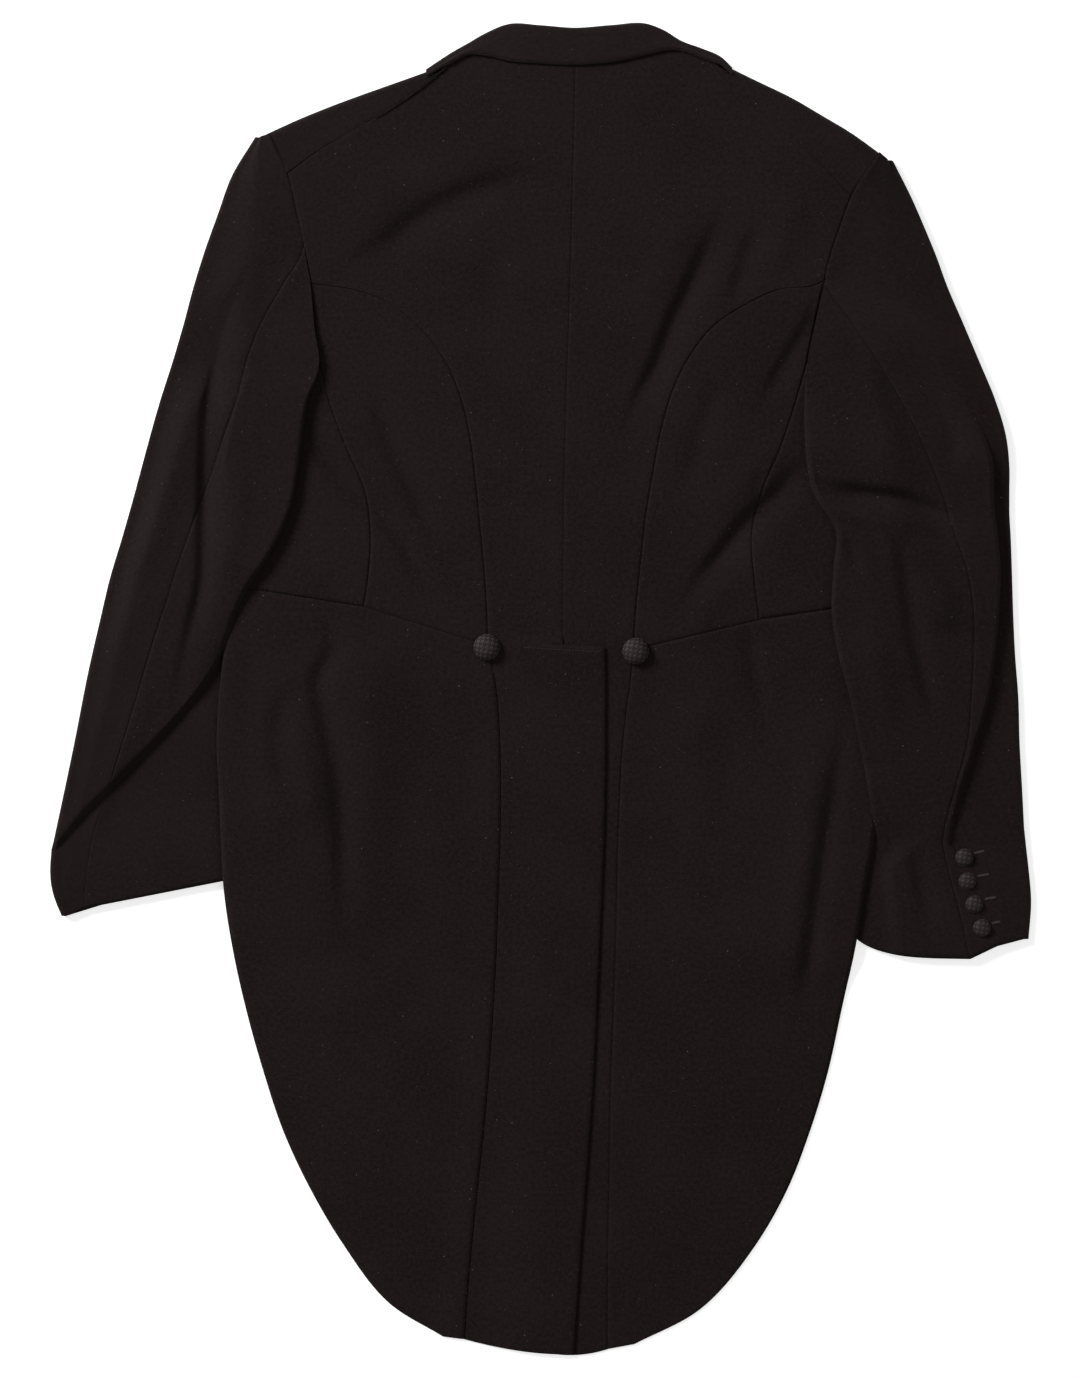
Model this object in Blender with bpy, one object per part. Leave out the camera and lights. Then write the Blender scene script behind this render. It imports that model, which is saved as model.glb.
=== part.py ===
"""White tie tailcoat laid flat on its front, seen from the back.

The coat lies on z = 0 with the collar towards +Y and the tails towards -Y. Its origin is the
middle of the bounding box, on the floor. Sizes are in millimetres and become metres when a mesh
is made. Every panel is a wall of cloth worked out from a table with one row for each section.
"""
import math

import bmesh
import bpy
import numpy as np

MM = 0.001
CLOTH = 2.0            # thickness of the lined wool wall
SEAM = 0.15            # half the gap that each seam keeps between two panels
REACH = 4.0            # how far a folded edge bulges past its last flat point
FOLD_STEPS = 4         # flat faces round a folded edge
VENT_LAP = 2.5         # height of the left tail over the right one at the centre vent
VENT_TOP = 95.0        # height y where the lap has died out above the vent
LAP_RISE = 20.0        # width over which the lap climbs onto the hidden edge
LAP_LEAD = 32.0        # distance before the hidden edge where it starts to climb
PLEAT_STEP = 1.1       # height of the left skirt's pleat over the strip beside it
PLEAT_WIDTH = 26.0     # distance over which that height dies out
LAPEL_LIFT = 2.4       # height of the forepart where it lies on its lapel
LAPEL_FLAT = 22.0      # distance past the lapel where the forepart is down on the floor
LAPEL_INSET = 16.0     # distance from the neck edge to the top of the lapel
CREASE_GAP = 2.6       # width of the step beside the lengthwise crease of a top sleeve

# centre-back seam: y, x
CENTRE_BACK = [(36, 17.5), (208, 20), (330, 24), (500, 28)]

# Body sections of one side, from the neck to the waist. Each row holds points (x, y), and the
# height y where it meets the centre back. Shoulder rows: shoulder seam, centre back, folded edge
SHOULDER_LOW = [2.6, 1.6, 0, 0, 0, 0]    # height of the folded edge's lower side in those rows
SHOULDER = {
    "left": [((-74, 484), 500, (-84, 484)),
             ((-96, 467), 482, (-108, 475.5)),
             ((-122, 450), 465, (-135, 466)),
             ((-148, 434.5), 447, (-162, 456)),
             ((-173, 419.5), 430, (-189, 445)),
             ((-197, 402), 412, (-213, 434))],
    "right": [((129, 493), 500, (147, 486)),
              ((150, 470), 480, (171, 474.5)),
              ((174, 450), 461, (196, 462.5)),
              ((198, 430), 441, (220, 448.5)),
              ((221, 408), 421, (244, 434)),
              ((243, 385), 400, (266, 418))],
}

# armhole rows of the back: armhole seam, centre back
ARMHOLE = {
    "left": [((-190, 373), 386), ((-184, 345), 360), ((-179, 317), 336)],
    "right": [((234, 361), 378), ((227, 340), 356), ((222, 319), 338)],
}

# side rows: underarm seam (the armhole in the first five), side-back seam, centre back
SIDE = {
    "left": [((-178.3, 311), (-173, 316), 330),
             ((-177.2, 300), (-146, 312), 321),
             ((-176.3, 288), (-117, 301), 308),
             ((-175, 276), (-93, 282), 290),
             ((-173.5, 264), (-74, 257), 266),
             ((-172, 252), (-61, 226), 238),
             ((-163, 221), (-54, 195), 208),
             ((-150, 187), (-50, 162), 174),
             ((-136, 153), (-46.5, 128), 138),
             ((-132, 116), (-43.5, 96), 104),
             ((-134, 88), (-41.5, 66), 70),
             ((-137.5, 64.5), (-40.5, 34), 36)],
    "right": [((220, 311), (214, 315.5), 330),
              ((217.7, 301), (188, 312.5), 321),
              ((215.2, 290), (158, 299), 308),
              ((212.8, 279), (136, 284), 290),
              ((210.5, 268), (118, 262), 266),
              ((208, 254), (104, 234), 238),
              ((200, 226), (95, 204), 208),
              ((188, 190), (88.5, 170), 174),
              ((174, 157), (83, 137), 138),
              ((165.5, 122), (79, 102), 104),
              ((167.5, 86), (75.5, 68), 70),
              ((171.5, 54.5), (73, 31), 36)],
}
ARMPIT = 5             # row of SIDE where the armhole ends and the underarm seam starts

# side fold of the forepart, a row for each side row from the armpit to the waist
SIDE_FOLD = {
    "left": [(-222, 238), (-230, 212), (-233, 182), (-234, 152), (-234, 120), (-233, 98), (-234, 79)],
    "right": [(238, 243), (252, 214), (259, 184), (261, 152), (261, 120), (262, 92), (262, 67)],
}

# tail rows: pleat, outer edge of the skirt, end of the skirt's hidden front (None where cut away)
TAIL = {
    "left": [((-38.8, 26), (-240, 58), -135), ((-36.5, 10), (-247.5, 25), -160),
             ((-33.5, -15), (-251, -10), -186), ((-32, -45), (-252.5, -45), -212),
             ((-31.5, -80), (-250.5, -82), -232), ((-32, -120), (-249, -120), None),
             ((-33.5, -160), (-247, -156), None), ((-35, -205), (-240, -205), None),
             ((-37.5, -250), (-230, -250), None), ((-41, -300), (-216, -300), None),
             ((-45, -345), (-201, -345), None), ((-50, -390), (-180, -390), None),
             ((-54.5, -435), (-154, -434), None), ((-58, -475), (-118, -480), None),
             ((-60, -508), (-76, -506), None)],
    "right": [((72.5, 22), (262, 46), 160), ((71, 5), (263, 20), 182), ((68, -17), (264, -10), 206),
              ((65, -45), (264, -45), 228), ((63, -80), (263.5, -82), 246),
              ((61.5, -120), (260, -120), None), ((60.5, -160), (253.5, -157), None),
              ((59.5, -205), (246, -203), None), ((58, -250), (236, -250), None),
              ((56, -300), (225, -300), None), ((55, -345), (211, -346), None),
              ((54.5, -390), (193, -392), None), ((53.5, -435), (167, -437), None),
              ((53.2, -478), (125, -485), None), ((53, -516), (74, -512), None)],
}
SKIRT_START = {"left": (-40.5, 34), "right": (73, 31)}

# height of the hidden wall of the left skirt, which lies on its cuff: y, height
SKIRT_ON_CUFF = [(-400, 5.6), (-10, 5.6), (22, 5.4), (40, 0), (90, 0)]

# inner edges of the two back tails: lapping edge of the left one, hidden edge of the right one
VENT = {
    "left": [(50.3, 33), (51, 8), (51, -18), (51, -48), (50.5, -82), (49.5, -122), (48, -162),
             (46, -207), (44, -252), (41.5, -302), (38.5, -348), (35, -394), (31.5, -440),
             (28.5, -482), (26, -520)],
    "right": [(17.5, 26), (17.5, 8), (17.5, -18), (17, -48), (17, -82), (16.5, -122), (16, -162),
              (15, -207), (14, -252), (13, -302), (12, -348), (10.5, -394), (9, -440),
              (7.5, -482), (6, -519)],
}

# hidden front of the forepart: front or roll edge, width of the lapel there, armhole or side fold
FRONT = {
    "left": [((-74, 456), 62, (-205, 408)), ((-58, 415), 86, (-199, 378)),
             ((-42, 368), 80, (-195, 342)), ((-27, 320), 68, (-193, 306)),
             ((-14, 277), 56, (-199, 270)), ((-6, 238), 45, None), ((0, 208), 36, None),
             ((4, 178), 26, None), ((7, 148), 16, None), ((9, 118), 0, None),
             ((10, 92), 0, None), ((10, 52), 0, None)],
    "right": [((130, 456), 62, (256, 396)), ((112, 415), 86, (246, 368)),
              ((94, 368), 80, (240, 336)), ((77, 320), 68, (236, 306)),
              ((62, 277), 56, (232, 272)), ((52, 238), 45, None), ((45, 208), 36, None),
              ((40, 178), 26, None), ((37, 148), 16, None), ((35, 118), 0, None),
              ((34, 92), 0, None), ((34, 45), 0, None)],
}

# collar sections from left to right: x, top edge, edge of the fall, end of the hidden front
COLLAR_TOP = 12.8      # height of the collar's upper face
COLLAR_EDGE = 12.6     # height of the free edge of its fall
COLLAR = [(-83, 488, 480, 470), (-70, 497, 488, 474), (-56, 505, 495, 478), (-42, 513, 494, 480),
          (-24, 520, 490, 481), (0, 519, 488, 481), (28, 517, 487, 481), (55, 519, 489, 481),
          (84, 520, 495, 481), (97, 515, 498, 480), (110, 507, 498, 479), (126, 501, 492, 477),
          (141, 493, 484, 473)]

# sleeve sections: inner edge (armhole, then fold), hind-arm seam, crease on the top sleeve, outer
# edge, hidden inseam, height at the inner edge, over the crease and outside it, height that the
# lower wall is lifted by the body, width of that lift, downward bow of the row
SLEEVE_ROW = ("inner", "hind", "crease", "outer", "inseam", "z_inner", "z_crease", "z_outer",
              "lift", "hold", "bow")
SLEEVE = {
    "left": [
        ((-209, 425), (-209, 425), 0.5, (-227, 431), (-211, 427), 12, 10, 8, 0, 0, 0),
        ((-197, 402), (-197, 402), 0.5, (-241, 401), (-206, 402), 12, 12, 8, 0, 0, 0),
        ((-190, 373), (-190, 373), 0.5, (-252, 371), (-202, 372), 11.5, 13, 8, 0, 0, 0),
        ((-184, 345), (-187, 345), 0.5, (-262, 343), (-198, 344), 11, 13, 8, 0, 0, 0),
        ((-179, 317), (-200, 316), 0.5, (-271, 314), (-198, 315), 11, 13, 8, 0, 0, 0),
        ((-175.6, 282), (-218, 284), 0.5, (-279, 284), (-204, 283), 11, 13, 8, 0, 0, 0),
        ((-172, 252), (-229, 254), 0.5, (-288, 254), (-228, 254), 12, 12, 7, 0, 0, 0),
        ((-181, 225), (-236, 226), 0.5, (-297, 226), (-266, 226), 18, 13, 7, 11.5, 51, 0),
        ((-185, 198), (-246, 198), 0.5, (-305, 198), (-268, 198), 18, 13, 7, 11.5, 52, 0),
        ((-188.5, 172), (-255, 172), 0.5, (-312, 172), (-270, 172), 17.5, 12, 7, 11.5, 50, 0),
        ((-193, 146), (-265, 146), 0.5, (-319, 146), (-272, 146), 17.5, 12, 7, 11.5, 46, 0),
        ((-202, 122), (-274, 120), 0.5, (-327, 118), (-276, 121), 17.5, 12, 7, 11.5, 38, 0),
        ((-214, 100), (-283, 95), 0.5, (-336, 88), (-282, 96), 17.5, 12, 7, 11.5, 26, 0),
        ((-227, 81), (-291, 69), 0.5, (-344, 54), (-288, 72), 17, 13, 8, 11.5, 14, 0),
        ((-242, 62), (-301, 40), 0.5, (-353, 14), (-290, 44), 16, 14, 9, 10.5, 5, -3),
        ((-247, 45), (-315, -5), 0.5, (-364, -42), (-300, 5), 14, 15, 10, 8, 3, -8),
        ((-250, 32), (-335, -68), 0.5, (-380, -118), (-310, -40), 12, 15, 11, 3, 2, -13),
        ((-254, 20), (-338, -82), 0.5, (-383, -131), (-312, -50), 5, 6, 6, 0, 0, -13),
        ((-242, -18), (-345, -98), 0.5, (-383, -143), (-316, -70), 4.8, 6.5, 6, 0, 0, -6),
        ((-241, -65), (-350, -119), 0.5, (-382, -154), (-318, -98), 4.8, 6.5, 6, 0, 0, 0),
        ((-240, -110), (-354, -142), 0.5, (-379, -165), (-320, -128), 4.8, 6.5, 6, 0, 0, 0),
        ((-240, -149), (-356, -171), 0.5, (-374, -177), (-322, -162), 4.8, 6, 6, 0, 0, 0)],
    "right": [
        ((259, 405), (259, 405), 0.5, (277, 409), (262, 406), 12, 10, 8, 0, 0, 0),
        ((243, 385), (243, 385), 0.5, (291, 383), (254, 385), 12, 12, 8, 0, 0, 0),
        ((234, 361), (234, 361), 0.5, (301, 360), (248, 361), 11.5, 13, 8, 0, 0, 0),
        ((227, 340), (227, 340), 0.5, (310, 338), (244, 340), 11, 13, 8, 0, 0, 0),
        ((222, 319), (225, 319), 0.5, (318, 316), (241, 319), 11, 13, 8, 0, 0, 0),
        ((215, 288), (242, 288), 0.5, (330, 288), (240, 288), 11, 13, 8, 0, 0, 0),
        ((208, 254), (264, 255), 0.6, (344, 255), (246, 255), 12, 12, 8, 0, 0, 0),
        ((206, 226), (281, 226), 0.7, (356, 226), (288, 226), 18.5, 14, 8, 11.5, 50, 0),
        ((206, 197), (296, 197), 0.75, (364.5, 197), (296, 197), 20, 14, 8, 11.5, 56, 0),
        ((208, 173), (306, 173), 0.8, (367, 173), (298, 173), 20.5, 14.5, 7, 11.5, 55, 0),
        ((212, 155), (313, 154), 0.78, (367, 155), (298, 155), 20.5, 14.5, 6, 11.5, 52, 0),
        ((216, 147), (316, 146), 0.77, (367, 147), (298, 147), 20.5, 14.5, 6, 11.5, 48, 0),
        ((222, 139), (318, 138), 0.77, (367, 139), (298, 139), 20.5, 14.5, 6, 11.5, 42, 0),
        ((230, 124), (323, 122), 0.78, (368, 120), (298, 122), 20.5, 14.5, 6, 11.5, 34, 0),
        ((228.5, 95), (333, 93), 0.76, (369, 92), (298, 94), 19.5, 14.5, 6, 11.5, 36, 0),
        ((227, 62), (338, 60), 0.64, (370, 59), (298, 61), 19, 14, 6, 11.5, 37, 0),
        ((232, 28), (338, 28), 0.5, (371.5, 27), (298, 28), 17.5, 13, 6, 11.5, 36, 0),
        ((241, -5), (336.5, -5), 0.35, (374, -6), (298, -5), 16.5, 13, 6, 11, 29, 0),
        ((248, -38), (333.5, -40), 0.1, (375, -42), (298, -38), 15, 13, 6, 10, 22, 0),
        ((256, -75), (324, -76), 0.06, (377, -78), (298, -75), 14, 13, 6, 9.5, 14, 0),
        ((265.5, -103), (316, -106), 0.06, (378.5, -108), (286, -104), 11, 11, 6, 6, 4, 0),
        ((266, -116), (314, -120), 0.06, (380, -122), (288, -118), 5, 8, 6, 0, 0, 0),
        ((246, -138), (319, -141), 0.3, (382, -140), (290, -140), 4.8, 7, 6, 0, 0, -2),
        ((243, -162), (326, -165), 0.4, (384, -164), (292, -164), 4.8, 6.5, 6, 0, 0, -6),
        ((239, -189), (336, -206), 0.5, (382, -195), (294, -203), 4.8, 6, 6, 0, 0, -13)],
}
CAP_ROWS = {"left": 6, "right": 6}       # row of SLEEVE where the tube closes under the arm
HIND_ROW = {"left": 3, "right": 4}       # row of SLEEVE where the hind-arm seam starts

# covered buttons: name, x, y, height of the button's flat back, diameter
BUTTONS = [("hip_button_left", -41.5, 33, 7.95, 21), ("hip_button_right", 74.6, 30, 7.85, 21),
           ("cuff_button_1", 331, -131, 7.8, 14), ("cuff_button_2", 333.5, -149.5, 7.3, 14),
           ("cuff_button_3", 339, -167.5, 6.95, 14), ("cuff_button_4", 345, -186, 6.65, 14)]

# profile of a button in diameters: radius, height
BUTTON_PROFILE = [(0, 0.34), (0.3, 0.3), (0.44, 0.19), (0.5, 0.09), (0.47, 0.02), (0.4, 0), (0, 0)]

# height of the coat's upper face: y, at the left side, down the middle, at the right side
HEIGHT = [(-530, 2, 2, 2), (-262, 2, 2, 2), (-232, 2, 2, 3), (-208, 2.4, 2, 7.4), (-180, 5.5, 2, 8.6),
          (-150, 8.4, 2, 8.4), (-105, 9.6, 2.2, 8.8), (-80, 10, 2.4, 8.6), (-45, 10, 3, 8),
          (-10, 10, 4.6, 8), (30, 9.6, 7.2, 8.6), (70, 9.6, 8.6, 9.2), (200, 9.6, 9.2, 9.6),
          (330, 10.5, 9.6, 10.5), (400, 12, 9.6, 12), (450, 11, 9.8, 11), (500, 9.8, 9.8, 9.8)]
CENTRE_X = 20
MIDDLE = 60            # half-width that keeps the middle height
SIDE_X = 235           # distance from the centre back where the side height is reached

# largest folds of the body: points along the fold, half-width, height (a trough is negative)
BODY_FOLDS = [
    ([(-186, 196), (-150, 160), (-115, 119), (-85, 84)], 13, -2.2),
    ([(-172, 216), (-130, 178), (-85, 138)], 13, 1.6),
    ([(208, 176), (176, 147), (148, 118), (114, 76)], 13, -2.4),
    ([(205, 205), (168, 172), (128, 128)], 14, 1.6),
    ([(-171, 60), (-168, 10), (-163, -50), (-156, -100), (-157, -160)], 13, -2.4),
    ([(-192, 30), (-184, -30), (-174, -100)], 13, 1.8),
    ([(-138, 40), (-134, -30), (-128, -110)], 16, 1.2),
    ([(163, 48), (171, 10), (172, -40)], 12, -1.8),
    ([(-170, 330), (-110, 372), (-40, 398)], 22, -1.4),
    ([(140, 396), (95, 330), (58, 250)], 20, -1.2),
    ([(185, 402), (150, 350), (118, 300)], 20, 1.4),
    ([(238, -5), (229, -92), (214, -185), (206, -250)], 10, -1.6),
]

# largest folds of the sleeves
SLEEVE_FOLDS = [
    ([(-240, 350), (-248, 285), (-258, 210), (-264, 120), (-268, 60), (-282, 0)], 10, -2.3),
    ([(-268, 300), (-290, 180), (-318, 60)], 14, 1.2),
    ([(219, 154), (255, 146), (300, 145), (322, 138)], 10, -3.4),
    ([(232, 190), (228, 168), (222, 160)], 10, 1.6),
    ([(250, 118), (272, 112), (285, 75), (293, 30)], 11, -2.4),
    ([(258, 165), (300, 168), (324, 188)], 9, -1.8),
    ([(300, 5), (305, -20), (312, -36)], 8, -1.8),
    ([(297, -122), (300, -157), (308, -200)], 10, -1.8),
]


def ease(t):
    """Smooth step from 0 to 1."""
    t = np.clip(t, 0.0, 1.0)
    return t * t * (3.0 - 2.0 * t)


def relief(folds, x, y):
    """Sum of soft ridges and troughs: a bell across each fold, faded out at its two ends."""
    total = np.zeros(np.broadcast(x, y).shape)
    for points, width, height in folds:
        points = np.array(points, float)
        lengths = np.hypot(*np.diff(points, axis=0).T)
        starts = np.concatenate([[0.0], np.cumsum(lengths)])
        nearest = np.full(total.shape, 1e9)
        along = np.zeros(total.shape)
        for index, length in enumerate(lengths):
            step = (points[index + 1] - points[index]) / length
            run = (x - points[index, 0]) * step[0] + (y - points[index, 1]) * step[1]
            run = np.clip(run, 0.0, length)
            distance = np.hypot(x - points[index, 0] - run * step[0], y - points[index, 1] - run * step[1])
            closer = distance < nearest
            nearest = np.where(closer, distance, nearest)
            along = np.where(closer, starts[index] + run, along)
        fade = ease(along / (0.3 * starts[-1])) * ease((starts[-1] - along) / (0.3 * starts[-1]))
        total += height * (0.25 + 0.75 * fade) * np.exp(-(nearest / width) ** 2)
    return total


def upper_face(x, y):
    """Height of the body's upper face: the stack of layers below it, and the folds."""
    table = np.array(HEIGHT, float)
    left, middle, right = (np.interp(y, table[:, 0], table[:, column]) for column in (1, 2, 3))
    side = np.where(x < CENTRE_X, left, right)
    share = ease((np.abs(x - CENTRE_X) - MIDDLE) / (SIDE_X - MIDDLE))
    base = middle + (side - middle) * share
    return base + relief(BODY_FOLDS, x, y) * np.clip((base - 1.4) / 4.0, 0.15, 1.0)


def line(start, end, count):
    """Points from start to end, both in the plane of the floor."""
    t = np.linspace(0.0, 1.0, count)[:, None]
    return np.array(start, float) + (np.array(end, float) - np.array(start, float)) * t


def toward(points, target, distance):
    """Points moved a distance toward the matching targets."""
    points = np.array(points, float)
    step = np.array(target, float) - points
    return points + step * (distance / np.linalg.norm(step, axis=-1, keepdims=True))


def wall(plan, z_upper):
    """Outer and inner face of a wall that faces up, its plan an array (row, column, 2)."""
    outer = np.dstack([plan[..., 0], plan[..., 1], z_upper])
    return outer, outer - [0.0, 0.0, CLOTH]


def hidden_wall(plan, z_lower):
    """Outer and inner face of a wall that faces down."""
    outer = np.dstack([plan[..., 0], plan[..., 1], z_lower])
    return outer, outer + [0.0, 0.0, CLOTH]


def folded_edge(edge, outward, z_upper, z_lower):
    """Outer and inner face of a fold: half an ellipse from the upper to the lower wall."""
    angle = np.linspace(math.pi / 2, -math.pi / 2, FOLD_STEPS + 1)
    half = (z_upper - z_lower) / 2
    middle = (z_upper + z_lower) / 2
    centre = edge - REACH * outward
    faces = []
    for reach, height in ((REACH, half), (REACH - CLOTH, half - CLOTH)):
        shape = centre[:, None, :] + reach * np.cos(angle)[None, :, None] * outward[:, None, :]
        z = middle[:, None] + height[:, None] * np.sin(angle)[None, :]
        faces.append(np.dstack([shape[..., 0], shape[..., 1], z]))
    return tuple(faces)


def join_columns(*patches):
    """Patches side by side, each next one starting on the last column of the one before."""
    outer = [patches[0][0]] + [patch[0][:, 1:] for patch in patches[1:]]
    inner = [patches[0][1]] + [patch[1][:, 1:] for patch in patches[1:]]
    return np.concatenate(outer, axis=1), np.concatenate(inner, axis=1)


def material(name, colour, roughness):
    """A plain Principled material."""
    cloth = bpy.data.materials.new(name)
    cloth.use_nodes = True
    shader = cloth.node_tree.nodes["Principled BSDF"]
    shader.inputs["Base Color"].default_value = (*colour, 1.0)
    shader.inputs["Roughness"].default_value = roughness
    shader.inputs["Metallic"].default_value = 0.0
    return cloth


def panel(name, patches, cloth):
    """One closed body from patches of (outer, inner) faces that share their edge points."""
    places = {}
    corners = []
    quads = []
    for outer, inner in patches:
        rows, columns = outer.shape[:2]
        index = np.zeros((rows, columns), int)
        for row in range(rows):
            for column in range(columns):
                key = tuple(np.round(outer[row, column], 2))
                if key not in places:
                    places[key] = len(corners)
                    corners.append((outer[row, column], inner[row, column]))
                index[row, column] = places[key]
        for row in range(rows - 1):
            for column in range(columns - 1):
                quad = (index[row, column], index[row, column + 1],
                        index[row + 1, column + 1], index[row + 1, column])
                quads.append([corner for place, corner in enumerate(quad) if corner != quad[place - 1]])
    mesh = bmesh.new()
    upper = [mesh.verts.new(outer * MM) for outer, inner in corners]
    lower = [mesh.verts.new(inner * MM) for outer, inner in corners]
    for quad in quads:
        mesh.faces.new([upper[corner] for corner in quad])
        mesh.faces.new([lower[corner] for corner in reversed(quad)])
    uses = {}
    for quad in quads:
        for place, corner in enumerate(quad):
            edge = frozenset((corner, quad[place - 1]))
            uses[edge] = uses.get(edge, 0) + 1
    for edge in [edge for edge, count in uses.items() if count == 1]:
        first, second = sorted(edge)
        mesh.faces.new([upper[first], upper[second], lower[second], lower[first]])
    bmesh.ops.recalc_face_normals(mesh, faces=mesh.faces)
    bmesh.ops.triangulate(mesh, faces=mesh.faces)
    data = bpy.data.meshes.new(name)
    mesh.to_mesh(data)
    mesh.free()
    data.materials.append(cloth)
    body = bpy.data.objects.new(name, data)
    collection.objects.link(body)
    return body


def rows_between(first, last, shares):
    """Plan of a panel: each row runs from a point of first to a point of last."""
    first = np.array(first, float)[:, None, :]
    last = np.array(last, float)[:, None, :]
    return first + (last - first) * np.array(shares, float)[None, :, None]


def seam_inset(plan, first=SEAM, last=SEAM, top=0.0, bottom=0.0):
    """A plan drawn in from its seams by half the seam gap."""
    plan = plan.copy()
    start = toward(plan[:, 0], plan[:, -1], first) if first else plan[:, 0]
    end = toward(plan[:, -1], plan[:, 0], last) if last else plan[:, -1]
    plan[:, 0], plan[:, -1] = start, end
    if top:
        plan[0] = toward(plan[0], plan[1], top)
    if bottom:
        plan[-1] = toward(plan[-1], plan[-2], bottom)
    return plan


def build_back(side, cloth):
    """Back panel with its tail: the left one laps over the right one at the vent."""
    shares = np.linspace(0.0, 1.0, 9)
    edges = [row[0] for row in SHOULDER[side]] + [row[0] for row in ARMHOLE[side]]
    edges += [row[1] for row in SIDE[side]] + [row[0] for row in TAIL[side]]
    heights = [row[1] for row in SHOULDER[side]] + [row[1] for row in ARMHOLE[side]]
    heights += [row[2] for row in SIDE[side]]
    seam_y, seam_x = np.array(CENTRE_BACK, float).T
    centres = [(np.interp(y, seam_y, seam_x), y) for y in heights] + VENT[side]
    plan = seam_inset(rows_between(edges, centres, shares))
    bow = 4 * shares * (1 - shares)
    plan[0, :, 1] += 4.0 * bow
    plan[-1, :, 1] -= 3.0 * bow
    x, y = plan[..., 0], plan[..., 1]
    z = upper_face(x, y)
    if side == "left":
        hidden = np.array(VENT["right"], float)[::-1]
        lap_edge = np.interp(y, hidden[:, 1], hidden[:, 0])
        lap = ease((x - lap_edge + LAP_LEAD) / LAP_RISE) * ease((VENT_TOP - y) / (VENT_TOP / 2))
        z = z + VENT_LAP * lap
    return panel(f"back_{side}", [wall(plan, z)], cloth)


def build_side_body(side, cloth):
    """Curved panel between the side-back seam, the armhole, the underarm seam and the waist."""
    shares = np.linspace(0.0, 1.0, 6)
    plan = rows_between([row[0] for row in SIDE[side]], [row[1] for row in SIDE[side]], shares)
    plan = seam_inset(plan, bottom=SEAM)
    return panel(f"side_body_{side}", [wall(plan, upper_face(plan[..., 0], plan[..., 1]))], cloth)


def build_forepart(side, cloth):
    """Forepart: flat front below, round the side fold to the underarm seam, and the shoulder strap."""
    sign = -1.0 if side == "left" else 1.0
    outward = np.array([sign, 0.0])
    seam = np.array([row[0] for row in SIDE[side][ARMPIT:]], float)
    fold = np.array(SIDE_FOLD[side], float)
    flat_end = fold - REACH * outward
    strip = seam_inset(rows_between(seam, flat_end, np.linspace(0.0, 1.0, 5)), last=0.0, bottom=SEAM)
    fold = fold.copy()
    fold[-1] = strip[-1, -1] + REACH * outward
    z_strip = upper_face(strip[..., 0], strip[..., 1])
    low = np.zeros(len(fold))
    side_patch = join_columns(wall(strip, z_strip),
                              folded_edge(fold, np.tile(outward, (len(fold), 1)), z_strip[:, -1], low))
    shoulder = np.array([row[0] for row in SHOULDER[side]], float)
    edge = np.array([row[2] for row in SHOULDER[side]], float)
    along = np.gradient(edge, axis=0)
    normal = np.stack([-along[:, 1], along[:, 0]], axis=1) / np.linalg.norm(along, axis=1)[:, None]
    normal *= np.sign(normal[:, 1:])
    flat_edge = edge - REACH * normal
    strap = np.stack([toward(shoulder, edge, SEAM), (shoulder + flat_edge) / 2, flat_edge], axis=1)
    z_strap = upper_face(strap[..., 0], strap[..., 1])
    shoulder_low = np.array(SHOULDER_LOW, float)
    strap_patch = join_columns(wall(strap, z_strap),
                               folded_edge(edge, normal, z_strap[:, -1], shoulder_low))
    front = [[tuple(point) for point in strap[:, -1]]]
    heights = [shoulder_low]
    outer_points = [row[2] for row in FRONT[side][:5]] + [tuple(point) for point in fold - REACH * outward]
    for (start, lapel, _), end in zip(FRONT[side], outer_points):
        end = np.array(end, float)
        start = np.array(start, float)
        length = np.linalg.norm(end - start)
        down = lapel + LAPEL_FLAT
        stops = np.array([0.0, lapel / 2, lapel + 4, down, (length + down) / 2, length])
        if not lapel:
            stops = np.linspace(0.0, length, 6)
        front.append([tuple(start + (end - start) * stop / length) for stop in stops])
        heights.append(np.array([1, 1, 1, 0, 0, 0]) * LAPEL_LIFT * min(1.0, lapel / 10))
    return panel(f"forepart_{side}", [hidden_wall(np.array(front), np.array(heights)),
                                      side_patch, strap_patch], cloth)


def build_lapel(side, cloth):
    """Lapel folded out on the front: the lowest layer under the forepart."""
    sign = -1.0 if side == "left" else 1.0
    rows = [row for row in FRONT[side] if row[1]]
    rolled = np.array([row[0] for row in rows], float)
    widths = np.array([row[1] for row in rows], float)
    ends = np.array([(row[0][0] + sign * row[1] * 0.97, row[0][1] - row[1] * 0.18) for row in rows], float)
    rolled[0] = toward(rolled[0], rolled[1], LAPEL_INSET)
    ends[0] = toward(ends[0], ends[1], LAPEL_INSET)
    plan = rows_between(rolled, ends, [0.0, 0.5, 1.0])
    return panel(f"lapel_{side}", [hidden_wall(plan, np.zeros(plan.shape[:2]))], cloth)


def pleat_distance(plan):
    """Distance of each point of a plan from the first point of its row."""
    return np.linalg.norm(plan - plan[:, :1], axis=2)


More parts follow.
